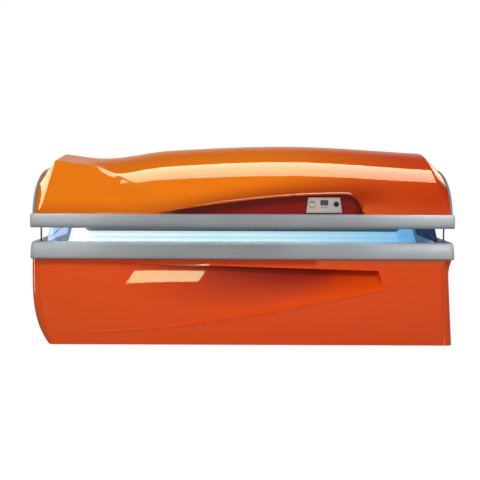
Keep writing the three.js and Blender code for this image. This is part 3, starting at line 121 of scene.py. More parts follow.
room = bpy.data.worlds.new("white_room")
room.use_nodes = True
scene.world = room
tree = room.node_tree
direction = tree.nodes.new("ShaderNodeTexCoord")
height = tree.nodes.new("ShaderNodeSeparateXYZ")
walls = tree.nodes.new("ShaderNodeMapRange")
walls.interpolation_type = "SMOOTHSTEP"
for socket, value in (("From Min", 0.20), ("From Max", 0.60), ("To Min", 1.0), ("To Max", CEILING)):
    walls.inputs[socket].default_value = value
level = tree.nodes.new("ShaderNodeMapRange")
level.inputs["To Min"].default_value = AMBIENT
tree.links.new(direction.outputs["Generated"], height.inputs[0])
tree.links.new(height.outputs["Z"], walls.inputs["Value"])
tree.links.new(walls.outputs[0], level.inputs["To Max"])
tree.links.new(seen_directly(tree), level.inputs["Value"])
sky = tree.nodes["Background"]
sky.inputs["Color"].default_value = (1, 1, 1, 1)
tree.links.new(level.outputs[0], sky.inputs["Strength"])
print("room light:", AMBIENT, "ceiling:", CEILING)

# %% [markdown]
# The floor is pale and matt. Like the walls, it glows for the eye and for mirrors only, so it looks white
# and still takes the bed's shadow. A flat grid is enough, because a floor has no shape of its own.

# %% Floor
FLOOR_GREY = 0.36
FLOOR_GLOW = 0.88

floor_form = bmesh.new()
bmesh.ops.create_grid(floor_form, x_segments=4, y_segments=4, size=20)
floor_mesh = bpy.data.meshes.new("floor")
floor_form.to_mesh(floor_mesh)
floor_form.free()
floor = bpy.data.objects.new("floor", floor_mesh)
scene.collection.objects.link(floor)
floor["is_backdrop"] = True

pale_floor = bpy.data.materials.new("pale_floor")
pale_floor.use_nodes = True
tree = pale_floor.node_tree
tree.nodes.remove(tree.nodes["Principled BSDF"])
matt = tree.nodes.new("ShaderNodeBsdfDiffuse")
matt.inputs["Color"].default_value = (FLOOR_GREY, FLOOR_GREY, FLOOR_GREY, 1)
glow = tree.nodes.new("ShaderNodeEmission")
share = tree.nodes.new("ShaderNodeMath")
share.operation = "MULTIPLY"
share.inputs[1].default_value = FLOOR_GLOW
both = tree.nodes.new("ShaderNodeAddShader")
tree.links.new(seen_directly(tree), share.inputs[0])
tree.links.new(share.outputs[0], glow.inputs["Strength"])
tree.links.new(matt.outputs[0], both.inputs[0])
tree.links.new(glow.outputs[0], both.inputs[1])
tree.links.new(both.outputs[0], tree.nodes["Material Output"].inputs["Surface"])
floor_mesh.materials.append(pale_floor)
print("floor laid at z = 0")

# %% [markdown]
# The lacquer shows long soft reflections: a cream band along the canopy's crown, bright facets at both
# ends, a warm line under the lower rail and a slanted patch on the base. Each comes from one softbox
# that only mirrors see, kept to the pieces that show it, so it can be as bright as the reflection needs.
# The light that falls on the bed comes from lamps that no mirror sees: a large one above the front, a
# low fill, two small ones close above the ends of the rails, and faint strips in the mouth that stand
# for the bed's own lamps. Area lamps suit all of them, because their mirror images have straight edges.

# %% Softboxes


def softbox(name, place, target, width, height, watts, tint=(1, 1, 1), mirrored_only=False):
    lamp = bpy.data.lights.new(name, "AREA")
    lamp.shape = "RECTANGLE"
    lamp.size = width
    lamp.size_y = height
    lamp.energy = watts
    lamp.color = tint
    stand = bpy.data.objects.new(name, lamp)
    scene.collection.objects.link(stand)
    stand.location = place
    stand.rotation_euler = (Vector(target) - Vector(place)).to_track_quat("-Z", "Y").to_euler()
    stand.visible_camera = False
    stand.visible_diffuse = not mirrored_only
    stand.visible_glossy = mirrored_only
    stand.visible_transmission = False
    return stand


def shine_only_on(stand, *pieces):
    """Keeps a light, or a glowing card, to these pieces."""
    group = bpy.data.collections.new(f"{stand.name}_target")
    for piece in pieces:
        group.objects.link(piece)
    stand.light_linking.receiver_collection = group


CREAM = (1.0, 0.84, 0.58)
WARM = (1.0, 0.22, 0.08)
LAMP_BLUE = (0.72, 0.88, 1.0)
softbox("key_light", (0.2, -3.2, 3.3), (0, -0.35, 0.5), 3.4, 1.2, 95)
softbox("fill_light", (-1.2, -6.0, 0.7), (0, -0.5, 0.4), 3.0, 1.2, 58)
softbox("mouth_glow", (0, -0.30, 0.615), (0, -0.56, 0.545), 1.9, 0.04, 5, LAMP_BLUE)
crown_lights = [
    softbox("crown_band", (0.10, 0.25, 3.0), (0.10, 0.25, 0), 2.9, 1.3, 385, CREAM, True),
    softbox("left_facet", (-2.9, 0.1, 3.1), (-1.08, -0.46, 0.84), 2.4, 2.4, 900, CREAM, True),
    softbox("right_facet", (2.2, 2.25, 1.6), (1.06, -0.40, 0.92), 0.9, 0.9, 14, CREAM, True),
]
rail_lights = [
    softbox("left_rail_shine", (-1.15, -0.89, 1.30), (-1.10, -0.59, 0.67), 0.4, 0.2, 14),
    softbox("right_rail_shine", (1.15, -0.89, 1.30), (1.10, -0.59, 0.67), 0.4, 0.2, 18),
    softbox("rail_glow", (-0.2, -0.33, 0.77), (-0.2, -0.55, 0.555), 2.0, 0.05, 14, LAMP_BLUE),
]
lip_shine = softbox("lip_shine", (1.33, -3.5, 0.91), (1.33, -0.5, 0.91), 1.5, 0.16, 9.5, WARM, True)
left_edge = softbox("left_edge", (-3.0, -0.62, 0.35), (-1.1, -0.56, 0.3), 0.5, 0.7, 25, CREAM, True)
print("softboxes:", len(bpy.data.lights))

# %% [markdown]
# The slanted patch on the base is the mirror image of a card with slanted sides. A lamp can only be a
# rectangle, so this one is a single glowing face, hung close in front and shown to mirrors alone.

# %% Slanted card
CARD_Y = -0.86
CARD_CORNERS = [(-0.634, 0.344), (-0.225, 0.400), (-0.177, 0.490), (-0.577, 0.449)]
CARD_TINT = (0.86, 1.0, 0.54, 1)
CARD_STRENGTH = 38

card_form = bmesh.new()
card_form.faces.new([card_form.verts.new((x, CARD_Y, z)) for x, z in CARD_CORNERS])
card_mesh = bpy.data.meshes.new("slanted_card")
card_form.to_mesh(card_mesh)
card_form.free()
card = bpy.data.objects.new("slanted_card", card_mesh)
scene.collection.objects.link(card)
card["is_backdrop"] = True
for kind in ("camera", "diffuse", "transmission", "volume_scatter", "shadow"):
    setattr(card, f"visible_{kind}", False)

card_glow = bpy.data.materials.new("card_glow")
card_glow.use_nodes = True
tree = card_glow.node_tree
tree.nodes.remove(tree.nodes["Principled BSDF"])
lit = tree.nodes.new("ShaderNodeEmission")
lit.inputs["Color"].default_value = CARD_TINT
lit.inputs["Strength"].default_value = CARD_STRENGTH
tree.links.new(lit.outputs[0], tree.nodes["Material Output"].inputs["Surface"])
card_mesh.materials.append(card_glow)
print("card hung at y =", CARD_Y)

# %% [markdown]
# ## Finishes
# Real surfaces are never one flat value. Moulded plastic has a fine grain, lacquer has a trace of
# orange peel, drawn metal has lines along its length. Each of these is a node group that is built
# once, put in several materials and given its own numbers there. All of them read Object coordinates,
# which stay with the piece when it moves.

# %% Helpers for node groups


def colour(red, green, blue):
    """A screen colour, 0 to 255, as the light value that a shader takes."""
    def light(v):
        v /= 255
        return v / 12.92 if v <= 0.04045 else ((v + 0.055) / 1.055) ** 2.4
    return (light(red), light(green), light(blue), 1)


def detail_group(name, inputs, outputs):
    group = bpy.data.node_groups.new(name, "ShaderNodeTree")
    for label, kind in inputs:
        group.interface.new_socket(label, in_out="INPUT", socket_type=kind)
    for label, kind in outputs:
        group.interface.new_socket(label, in_out="OUTPUT", socket_type=kind)
    return group, group.nodes.new("NodeGroupInput"), group.nodes.new("NodeGroupOutput")


FLOAT, TONE, PLACE = "NodeSocketFloat", "NodeSocketColor", "NodeSocketVector"
print("a middle grey as light:", round(colour(128, 128, 128)[0], 3))

# %% [markdown]
# Grain is noise that is read twice, once as gloss and once as relief. Stretched along the bed, the same
# noise gives the fine lines of drawn metal, so one function makes both groups.

# %% Grain groups


def grain_group(name, stretch):
    """Noise, longer along X by the stretch, as a roughness between two values and a height."""
    group, given, made = detail_group(
        name,
        [("Position", PLACE), ("Scale", FLOAT), ("Smooth", FLOAT), ("Rough", FLOAT)],
        [("Roughness", FLOAT), ("Height", FLOAT)],
    )
    link = group.links.new
    mapping = group.nodes.new("ShaderNodeMapping")
    mapping.inputs["Scale"].default_value = (1 / stretch, 1, 1)
    noise = group.nodes.new("ShaderNodeTexNoise")
    noise.inputs["Detail"].default_value = 3
    spread = group.nodes.new("ShaderNodeMapRange")
    spread.inputs["From Min"].default_value = 0.3
    spread.inputs["From Max"].default_value = 0.7
    link(given.outputs["Position"], mapping.inputs["Vector"])
    link(mapping.outputs[0], noise.inputs["Vector"])
    link(given.outputs["Scale"], noise.inputs["Scale"])
    link(noise.outputs["Fac"], spread.inputs["Value"])
    link(given.outputs["Smooth"], spread.inputs["To Min"])
    link(given.outputs["Rough"], spread.inputs["To Max"])
    link(spread.outputs[0], made.inputs["Roughness"])
    link(noise.outputs["Fac"], made.inputs["Height"])
    return group


moulded_grain = grain_group("moulded_grain", 1)
drawn_lines = grain_group("drawn_lines", 60)
print("grain groups:", moulded_grain.name, drawn_lines.name)

# %% [markdown]
# Colour is never quite even either. One group mixes two tones in soft clouds. Another mixes three tones
# from the left end of the bed to the right, for the pieces whose colour changes along it.

# %% Tone groups


def tone_group():
    """A colour that drifts between two tones in large soft clouds."""
    group, given, made = detail_group(
        "tone_drift",
        [("Position", PLACE), ("Scale", FLOAT), ("Light", TONE), ("Deep", TONE)],
        [("Color", TONE)],
    )
    link = group.links.new
    noise = group.nodes.new("ShaderNodeTexNoise")
    noise.inputs["Detail"].default_value = 2
    spread = group.nodes.new("ShaderNodeMapRange")
    spread.inputs["From Min"].default_value = 0.35
    spread.inputs["From Max"].default_value = 0.65
    blend = group.nodes.new("ShaderNodeMix")
    blend.data_type = "RGBA"
    link(given.outputs["Position"], noise.inputs["Vector"])
    link(given.outputs["Scale"], noise.inputs["Scale"])
    link(noise.outputs["Fac"], spread.inputs["Value"])
    link(spread.outputs[0], blend.inputs["Factor"])
    link(given.outputs["Light"], blend.inputs["A"])
    link(given.outputs["Deep"], blend.inputs["B"])
    link(blend.outputs["Result"], made.inputs["Color"])
    return group


def lengthwise_group():
    """A colour that changes along the bed: left end, middle and right end."""
    group, given, made = detail_group(
        "lengthwise_tone",
        [("Position", PLACE), ("Left", TONE), ("Middle", TONE), ("Right", TONE)],
        [("Color", TONE)],
    )
    link = group.links.new
    split = group.nodes.new("ShaderNodeSeparateXYZ")
    link(given.outputs["Position"], split.inputs[0])
    tone = given.outputs["Left"]
    for start, end, label in ((-1.05, 0.0, "Middle"), (0.0, 1.05, "Right")):
        along = group.nodes.new("ShaderNodeMapRange")
        along.interpolation_type = "SMOOTHSTEP"
        along.inputs["From Min"].default_value = start
        along.inputs["From Max"].default_value = end
        blend = group.nodes.new("ShaderNodeMix")
        blend.data_type = "RGBA"
        link(split.outputs["X"], along.inputs["Value"])
        link(along.outputs[0], blend.inputs["Factor"])
        link(tone, blend.inputs["A"])
        link(given.outputs[label], blend.inputs["B"])
        tone = blend.outputs["Result"]
    link(tone, made.inputs["Color"])
    return group


tone_drift = tone_group()
lengthwise_tone = lengthwise_group()
print("detail groups:", [g.name for g in bpy.data.node_groups])

# %% [markdown]
# A finish is one shader with plain values, and a few groups that feed its sockets. Wiring each material by
# hand would repeat the same links, so small helpers place a group, link it and add the relief.

# %% Building a finish from a shader and groups


def new_finish(name, **values):
    """A material whose shader sockets get plain values, with the position ready for its groups."""
    material = bpy.data.materials.new(name)
    material.use_nodes = True
    shader = material.node_tree.nodes["Principled BSDF"]
    for socket, value in values.items():
        shader.inputs[socket.replace("_", " ")].default_value = value
    place = material.node_tree.nodes.new("ShaderNodeTexCoord")
    return material, shader, place.outputs["Object"]


def put_group(material, group, position, **values):
    node = material.node_tree.nodes.new("ShaderNodeGroup")
    node.node_tree = group
    material.node_tree.links.new(position, node.inputs["Position"])
    for socket, value in values.items():
        node.inputs[socket].default_value = value
    return node


def feed(material, shader, **sources):
    """Links what a group puts out to the shader's sockets."""
    for socket, source in sources.items():
        material.node_tree.links.new(source, shader.inputs[socket.replace("_", " ")])


def put_bump(material, shader, height, strength, distance):
    bump = material.node_tree.nodes.new("ShaderNodeBump")
    bump.inputs["Strength"].default_value = strength
    bump.inputs["Distance"].default_value = distance
    material.node_tree.links.new(height, bump.inputs["Height"])
    feed(material, shader, Normal=bump.outputs[0])


GRAIN_DEPTH = 0.0004


def grained_finish(name, light, deep, scale, smooth, rough, bump, group=moulded_grain, **values):
    """A finish with drifting colour, a grain in its gloss and the same grain as a slight relief."""
    material, shader, position = new_finish(name, **values)
    tone = put_group(material, tone_drift, position, Scale=3.0, Light=colour(*light), Deep=colour(*deep))
    grain = put_group(material, group, position, Scale=scale, Smooth=smooth, Rough=rough)
    feed(material, shader, Base_Color=tone.outputs["Color"], Roughness=grain.outputs["Roughness"])
    put_bump(material, shader, grain.outputs["Height"], bump, GRAIN_DEPTH)
    return material


print("finish helpers ready")

# %% [markdown]
# ### Orange lacquer
# The panels are sprayed a deep orange under clear lacquer. On the canopy, light and shade are painted into
# the orange along the bed: a warm yellow at the left and a darker, redder tone at the right, so its colour is
# set along the bed. In the recesses, shade is painted in as a deep red, which an attribute of the mesh says.
# The clear coat is the shader's own coat layer, which gives the sharp reflections, over a base that is only
# half glossy.

# %% Lacquer finishes


def lacquer(name, left, middle, right, painted_shade, coat):
    material, shader, position = new_finish(
        name, Coat_Weight=coat, Coat_Roughness=0.03, Coat_IOR=1.38, Specular_IOR_Level=0.0,
    )
    tone = put_group(
        material, lengthwise_tone, position,
        Left=colour(*left), Middle=colour(*middle), Right=colour(*right),
    )
    peel = put_group(material, moulded_grain, position, Scale=140.0, Smooth=0.36, Rough=0.44)
    # Painted shade: where the mesh's note says so, the colour darkens to a deep red.
    sunk = material.node_tree.nodes.new("ShaderNodeAttribute")
    sunk.attribute_name = "painted_shade"
    painted_shade_mix = material.node_tree.nodes.new("ShaderNodeMix")
    painted_shade_mix.data_type = "RGBA"
    painted_shade_mix.inputs["B"].default_value = colour(*painted_shade)
    material.node_tree.links.new(sunk.outputs["Fac"], painted_shade_mix.inputs["Factor"])
    material.node_tree.links.new(tone.outputs["Color"], painted_shade_mix.inputs["A"])
    feed(material, shader, Base_Color=painted_shade_mix.outputs["Result"], Roughness=peel.outputs["Roughness"])
    put_bump(material, shader, peel.outputs["Height"], 0.03, 0.0005)
    return material


# The canopy's three tones paint light and shade along it: lighter and warmer at the left, darker and redder
# at the right.
canopy_lacquer = lacquer(
    "canopy_lacquer", (230, 120, 20), (228, 116, 20), (206, 66, 20), painted_shade=(134, 20, 14), coat=0.35,
)
base_lacquer = lacquer(
    "base_lacquer", (228, 78, 4), (228, 72, 4), (228, 74, 4), painted_shade=(150, 36, 14), coat=0.5,
)
print("lacquers:", canopy_lacquer.name, base_lacquer.name)

# %% [markdown]
# ### Metals and plastics
# The rails are satin silver with faint lines along their length. The end caps and small covers are
# grained grey plastic, the hidden frame is dark powder coat, and the pan is zinc-plated sheet.

# %% Metal and plastic finishes
satin_silver = grained_finish(
    "satin_silver", (129, 133, 135), (123, 127, 129), 900.0, 0.42, 0.52, 0.02,
    group=drawn_lines, Metallic=0.3,
)
grey_trim = grained_finish("grey_trim", (142, 148, 154), (130, 137, 144), 700.0, 0.42, 0.55, 0.05)
powder_coat = grained_finish("powder_coat", (84, 88, 92), (74, 78, 82), 900.0, 0.5, 0.65, 0.12)
zinc_sheet = grained_finish(
    "zinc_sheet", (186, 190, 192), (160, 165, 168), 120.0, 0.32, 0.5, 0.03, Metallic=0.9,
)
bright_sheet = grained_finish(
    "bright_sheet", (226, 230, 234), (214, 220, 226), 500.0, 0.16, 0.26, 0.01,
    group=drawn_lines, Metallic=0.9,
)
black_plastic = grained_finish(
    "black_plastic", (20, 20, 22), (14, 14, 16), 800.0, 0.35, 0.5, 0.05, Specular_IOR_Level=0.3,
)
black_rubber = grained_finish("black_rubber", (34, 34, 34), (26, 26, 26), 600.0, 0.7, 0.85, 0.1)
# The lamp holders glow with painted light though they are no lamps: pale at the left, blue at the right, as
# the lamps light them.
pale_holder_painted_glow = grained_finish(
    "pale_holder_painted_glow", (244, 249, 252), (236, 243, 248), 600.0, 0.4, 0.55, 0.04,
    Emission_Color=colour(240, 250, 255), Emission_Strength=1.05,
)
blue_holder_painted_glow = grained_finish(
    "blue_holder_painted_glow", (96, 150, 200), (84, 138, 190), 600.0, 0.4, 0.55, 0.04,
    Emission_Color=colour(118, 178, 220), Emission_Strength=0.9,
)
# Pale blue-grey paint that stands in for the lamps' light on the end frames: painted light.
pale_coat_painted_lamplight = grained_finish("pale_coat_painted_lamplight", (178, 192, 218), (168, 182, 210), 900.0, 0.45, 0.6, 0.1)
polished_chrome = grained_finish(
    "polished_chrome", (184, 182, 176), (172, 170, 164), 300.0, 0.10, 0.18, 0.0, Metallic=1.0,
)
dark_window = grained_finish(
    "dark_window", (46, 32, 36), (38, 28, 34), 200.0, 0.05, 0.1, 0.0, Coat_Weight=0.5,
)
print("finishes:", len(bpy.data.materials))

# %% [markdown]
# ### Clear sheets and lamps
# The acrylic sheets are clear with a trace of blue. The low walls at the ends of the mouth are frosted, with
# light painted in as a glow: pale blue at the left, where the lamps light them, and a painted shade of deep
# navy at the right. A lamp tube is white powder inside glass, lit: it glows white at the left of the bed,
# pale cyan in the middle and blue at the right.

# %% Acrylic and lamp finishes


def acrylic_finish():
    material, shader, position = new_finish("clear_acrylic", IOR=1.49, Transmission_Weight=1.0)
    tone = put_group(
        material, tone_drift, position, Scale=2.0, Light=colour(250, 253, 255), Deep=colour(244, 250, 254),
    )
    haze = put_group(material, moulded_grain, position, Scale=40.0, Smooth=0.0, Rough=0.03)
    feed(material, shader, Base_Color=tone.outputs["Color"], Roughness=haze.outputs["Roughness"])
    return material


def lamp_finish():
    material, shader, position = new_finish("lit_phosphor", Roughness=0.35, Emission_Strength=0.62)
    tone = put_group(
        material, lengthwise_tone, position,
        Left=colour(248, 252, 252), Middle=colour(222, 244, 246), Right=colour(168, 216, 240),
    )
    feed(material, shader, Base_Color=tone.outputs["Color"], Emission_Color=tone.outputs["Color"])
    return material


def end_wall_finish():
    material, shader, position = new_finish(
        "frosted_wall_painted_glow", Transmission_Weight=0.03, IOR=1.49, Specular_IOR_Level=0.05, Emission_Strength=0.5,
    )
    # Painted light and shade: the wall glows pale blue at the left and is painted deep navy at the right.
    tone = put_group(
        material, lengthwise_tone, position,
        Left=colour(190, 208, 242), Middle=colour(120, 160, 210), Right=colour(0, 28, 62),
    )
    frost = put_group(material, moulded_grain, position, Scale=300.0, Smooth=0.32, Rough=0.42)
    feed(material, shader, Base_Color=tone.outputs["Color"], Emission_Color=tone.outputs["Color"])
    feed(material, shader, Roughness=frost.outputs["Roughness"])
    return material


clear_acrylic = acrylic_finish()
lit_phosphor = lamp_finish()
frosted_wall_painted_glow = end_wall_finish()
print("clear and lit finishes ready")

# %% [markdown]
# ## From a bmesh to a finished piece
# Every piece ends the same way: the mesh gets smooth shading with sharp corners kept, a finish, the
# body that it rides on, and the solids that it stands for.

# %% Finishing a piece
SIDES = (("left", -1), ("right", 1))


def settle(piece):
    """Applies the piece's modifiers, so that sharp edges can be found on the real shape."""
    flat = piece.data
    now = piece.evaluated_get(bpy.context.evaluated_depsgraph_get())
    piece.data = bpy.data.meshes.new_from_object(now)
    piece.modifiers.clear()
    bpy.data.meshes.remove(flat)


def finished(name, form, material, body, *nodes, slot, sharp=38, recalc=True, wall=0):
    if recalc:
        bmesh.ops.recalc_face_normals(form, faces=form.faces)
    mesh = bpy.data.meshes.new(name)
    form.to_mesh(mesh)
    form.free()
    piece = bpy.data.objects.new(name, mesh)
    scene.collection.objects.link(piece)
    if wall:
        shell = piece.modifiers.new("wall", "SOLIDIFY")
        shell.thickness = wall
        settle(piece)
    piece.data.shade_smooth()
    piece.data.set_sharp_from_angle(angle=math.radians(sharp))
    piece.data.materials.append(material)
    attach(piece, body)
    if nodes:
        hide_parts(*nodes)
    return piece


print("sides of the bed:", [name for name, _ in SIDES])

# %% [markdown]
# Most forms begin in one of three ways: as a grid whose corners are moved to a curved surface, as an
# outline pushed along a line, or as a box. Real edges are never perfectly sharp, and a narrow bevel lets
# them catch the light.

# %% Sheets, extrusions and blocks


def sheet_form(rows, columns, place):
    """A grid whose corners are moved to where place(i, k) says."""
    form = bmesh.new()
    bmesh.ops.create_grid(form, x_segments=rows, y_segments=columns, size=1)
    for vert in form.verts:
        i = round((vert.co.x + 1) / 2 * rows)
        k = round((vert.co.y + 1) / 2 * columns)
        vert.co = place(i, k)
    return form


def extruded_form(points, travel):
    """A flat outline of 3-D points, pushed along a vector into a solid."""
    form = bmesh.new()
    face = form.faces.new([form.verts.new(p) for p in points])
    pushed = bmesh.ops.extrude_face_region(form, geom=[face])
    moved = [v for v in pushed["geom"] if isinstance(v, bmesh.types.BMVert)]
    bmesh.ops.translate(form, verts=moved, vec=travel)
    bmesh.ops.recalc_face_normals(form, faces=form.faces)
    return form


def soften(form, width, segments=2, angle=30):
    """Rounds every edge that is sharper than the angle."""
    limit = math.radians(angle)
    edges = [e for e in form.edges if len(e.link_faces) == 2 and e.calc_face_angle() > limit]
    bmesh.ops.bevel(
        form, geom=edges, offset=width, offset_type="OFFSET", segments=segments, profile=0.5,
        affect="EDGES", material=-1, clamp_overlap=True,
    )
    return form


def block_form(low, high, width, segments=2):
    """A box between two corners, its edges rounded."""
    form = bmesh.new()
    bmesh.ops.create_cube(form, size=1)
    low, high = Vector(low), Vector(high)
    bmesh.ops.scale(form, verts=form.verts, vec=high - low)
    bmesh.ops.translate(form, verts=form.verts, vec=(low + high) / 2)
    return soften(form, width, segments)


print("sheet, extrusion and block helpers ready")

# %% [markdown]
# Knobs, tubes and screws are round, as if turned on a lathe, so a profile of a few points is spun about an
# axis. Forms that belong to one piece are then gathered in one mesh.

# %% Turned and gathered forms


def stood_up(form, place, axis):
    """Turns a form from the Z axis to another axis and moves it to its place."""
    turn = Vector((0, 0, 1)).rotation_difference(Vector(axis)).to_matrix().to_4x4()
    bmesh.ops.transform(form, matrix=Matrix.Translation(place) @ turn, verts=form.verts)
    return form


def turned_form(profile, centre, axis, sides=32):
    """A solid of revolution from (radius, height) points about an axis through a centre."""
    form = bmesh.new()
    verts = [form.verts.new((radius, 0, height)) for radius, height in profile]
    edges = [form.edges.new(pair) for pair in zip(verts, verts[1:])]
    bmesh.ops.spin(
        form, geom=verts + edges, cent=(0, 0, 0), axis=(0, 0, 1), angle=math.tau, steps=sides, use_merge=True,
    )
    bmesh.ops.remove_doubles(form, verts=form.verts, dist=1e-6)
    return stood_up(form, centre, axis)


def merged(*forms):
    """Several forms gathered in one."""
    whole = bmesh.new()
    for form in forms:
        holder = bpy.data.meshes.new("part")
        form.to_mesh(holder)
        form.free()
        whole.from_mesh(holder)
        bpy.data.meshes.remove(holder)
    return whole


print("turning and gathering helpers ready")

# %% [markdown]
# A few small sums come up again and again: evenly spaced values, points on an arc, and hard or soft steps
# from one value to another.

# %% Small sums


def spaced(start, end, count):
    return [start + (end - start) * i / count for i in range(count + 1)]


def arc(start, end, count):
    """(cosine, sine) of evenly spaced angles, in degrees."""
    turns = [math.radians(angle) for angle in spaced(start, end, count)]
    return [(math.cos(turn), math.sin(turn)) for turn in turns]


def clamp01(value):
    return min(max(value, 0.0), 1.0)


def smoothstep(value):
    value = clamp01(value)
    return value * value * (3 - 2 * value)


def mix(a, b, share):
    return a + (b - a) * share


print("a soft step, a quarter of the way:", smoothstep(0.25))

# %% [markdown]
# ## Canopy shell
# The canopy is one big moulding: an oval arch whose crown dips near the left end, swells past the
# middle and falls again, with a slanted facet at each end and a swoosh-shaped recess at the front. It
# could be sculpted by hand, but it has to match the solid, so a fine grid is laid over the same arch.
# The crown line is a smooth curve through five heights.

# %% Canopy crown, creases and recess
SHELL_FOOT = 0.7103
SHELL_REACH = 0.576
CROWN = [(-1.018, 0.3187), (-0.760, 0.2957), (-0.420, 0.3397), (0.285, 0.3657), (1.011, 0.3287)]
CREASE_FOOT = {-1: 1.077, 1: 1.086}
CREASE_CROWN = {-1: 1.018, 1: 1.011}
CAP_X = 1.1037
CAP_CROWN = 0.231
FACET = 0.060
SHOULDER_SLOPE = 1.31
SHOULDER_TOP_SLOPE = 0.1
SHOULDER_X, SHOULDER_Z = -0.635, 0.175
SHOULDER_SPAN = (-0.100, 0.075)
SHOULDER_ZONE = (-0.900, -0.260)
SHOULDER_LEAN = 2.1
SHOULDER_RAMP = 0.12
LEFT_END_SLOPE = 1.0
UNCUT_SLOPE = 100.0
RECESS_Y = -0.520
RECESS_LEFT = -0.492
RECESS_RIGHT = 0.640
RECESS_HOOK = 0.075
RECESS_TURN = RECESS_RIGHT - RECESS_HOOK
RECESS_HEIGHT = 0.102
RECESS_FADE = 0.26
RECESS_FULL = 0.024
LEDGE_LEAST = 0.008
SHADE_SHARE = (0.32, 0.76)
SHADE_END_SHARE = 0.35
SHADE_REACH = (0.08, 0.12)


def crown_height(x):
    """A smooth curve through the crown's heights."""
    slopes = []
    for i in range(len(CROWN)):
        before, after = CROWN[max(i - 1, 0)], CROWN[min(i + 1, len(CROWN) - 1)]
        slopes.append((after[1] - before[1]) / (after[0] - before[0]))
    for i in range(len(CROWN) - 1):
        (x0, z0), (x1, z1) = CROWN[i], CROWN[i + 1]
        if x <= x1 or i == len(CROWN) - 2:
            run = x1 - x0
            t = clamp01((x - x0) / run)
            rise = (1 + 2 * t) * (1 - t) ** 2 * z0 + t * t * (3 - 2 * t) * z1
            return rise + run * t * (1 - t) * ((1 - t) * slopes[i] - t * slopes[i + 1])


def ledge_sweep(x):
    """The ledge's height without the hook at its right end: a quarter of a wave."""
    along = clamp01((x - RECESS_LEFT) / (RECESS_TURN - RECESS_LEFT))
    return RECESS_HEIGHT * math.sin(along * math.pi / 2)


def ledge_height(x):
    hook = clamp01((x - RECESS_TURN) / RECESS_HOOK)
    return max(LEDGE_LEAST, ledge_sweep(x) * math.sqrt(1 - hook * hook))


def recess_share(x):
    return 0.0 if x >= RECESS_RIGHT else smoothstep((x - RECESS_LEFT) / RECESS_FADE)


def shoulder_share(x, z):
    """How far the arch has turned into the left end's straight slope, past a slanted crease."""
    lowest, highest = SHOULDER_SPAN
    crease = SHOULDER_X - SHOULDER_LEAN * min(max(z - SHOULDER_Z, lowest), highest)
    return clamp01((crease - x) / SHOULDER_RAMP)


def shoulder_height(y, crown):
    """The left end's section: a straight slope that folds to a nearly flat top."""
    return min((SHELL_REACH - abs(y)) * SHOULDER_SLOPE, crown - abs(y) * SHOULDER_TOP_SLOPE)


print("crown from", round(crown_height(-0.735), 3), "to", round(crown_height(0.285), 3))

# %% [markdown]
# A row of points runs from the front rail up and over to the rear. Its first points draw the recess:
# the sunk back wall, the underside of the ledge and the rounded lip. Over the left shoulder the row folds
# to a nearly flat top, and one point of every row lies on that fold, so that it stays crisp. At the ends
# the rows lean inwards along the crease, and past it they run straight to the end cap. Averaging each row
# with its neighbours a few millimetres away rounds the crease.

# %% Canopy rows
BEAD = 0.006
LIP_RISE = 0.016
UNDERCUT = 0.004
RECESS_STEPS = [0.0, 0.3, 0.6, 0.85, 1.0]
MOULDED_WALL = 0.004


def arch_row(q, crown, lean):
    side = math.copysign(1, q)
    ledge = ledge_height(q)
    share = recess_share(q)
    is_end = crown == CAP_CROWN
    cut = LEFT_END_SLOPE if is_end and side < 0 else UNCUT_SLOPE

    def flat(z):
        return 0.0 if is_end else shoulder_share(q, z)

    def skin_y(z):
        arched = SHELL_REACH * math.sqrt(max(0.0, 1 - (z / crown) ** 2))
        return -min(mix(arched, SHELL_REACH - z / SHOULDER_SLOPE, flat(z)), SHELL_REACH - z / cut)

    def place(y, z):
        return Vector((q - q / CREASE_FOOT[side] * lean * z / crown, y, SHELL_FOOT + z))

    row = []
    for step in RECESS_STEPS:
        z = step * (ledge - UNDERCUT)
        row.append(place(mix(skin_y(z), RECESS_Y, share), z))
    lip = skin_y(ledge)
    deep = mix(lip, RECESS_Y, share)
    for step in (0.33, 0.66):
        row.append(place(mix(deep, lip + UNDERCUT * share, step), ledge - UNDERCUT + 0.003 * step))
    for i, (out, up) in enumerate(arc(-60, 70, 6)):
        plain = ledge + LIP_RISE * (i + 0.5) / 7
        y = mix(skin_y(plain), lip - BEAD * (out - 0.35), share)
        row.append(place(y, mix(plain, ledge + 0.0008 + BEAD * (up + 0.9), share)))
    start = math.acos(-skin_y(ledge + LIP_RISE) / SHELL_REACH)
    fold_y = (SHELL_REACH * SHOULDER_SLOPE - crown) / (SHOULDER_SLOPE - SHOULDER_TOP_SLOPE)
    fold = math.acos(fold_y / SHELL_REACH)
    for angle in spaced(start, fold, 36) + spaced(fold, math.pi, 40)[1:]:
        y = -SHELL_REACH * math.cos(angle)
        arched = crown * math.sin(angle)
        z = mix(arched, shoulder_height(y, crown), flat(arched))
        row.append(place(y, min(z, cut * (SHELL_REACH - abs(y)))))
    return row


def canopy_row(q):
    side = math.copysign(1, q)
    foot, top = CREASE_FOOT[side], CREASE_CROWN[side]
    if abs(q) <= foot:
        return arch_row(q, crown_height(q * top / foot), foot - top)
    share = min((abs(q) - foot) / FACET, 1)
    inner = arch_row(side * foot, crown_height(side * top), foot - top)
    outer = arch_row(side * CAP_X, CAP_CROWN, 0)
    return [a.lerp(b, share) for a, b in zip(inner, outer)]


def soft_row(q, reach=0.006):
    if abs(q) >= CREASE_FOOT[math.copysign(1, q)] + FACET:
        return canopy_row(q)
    rows = [canopy_row(q - reach), canopy_row(q), canopy_row(q + reach)]
    return [(a + 2 * b + c) / 4 for a, b, c in zip(*rows)]


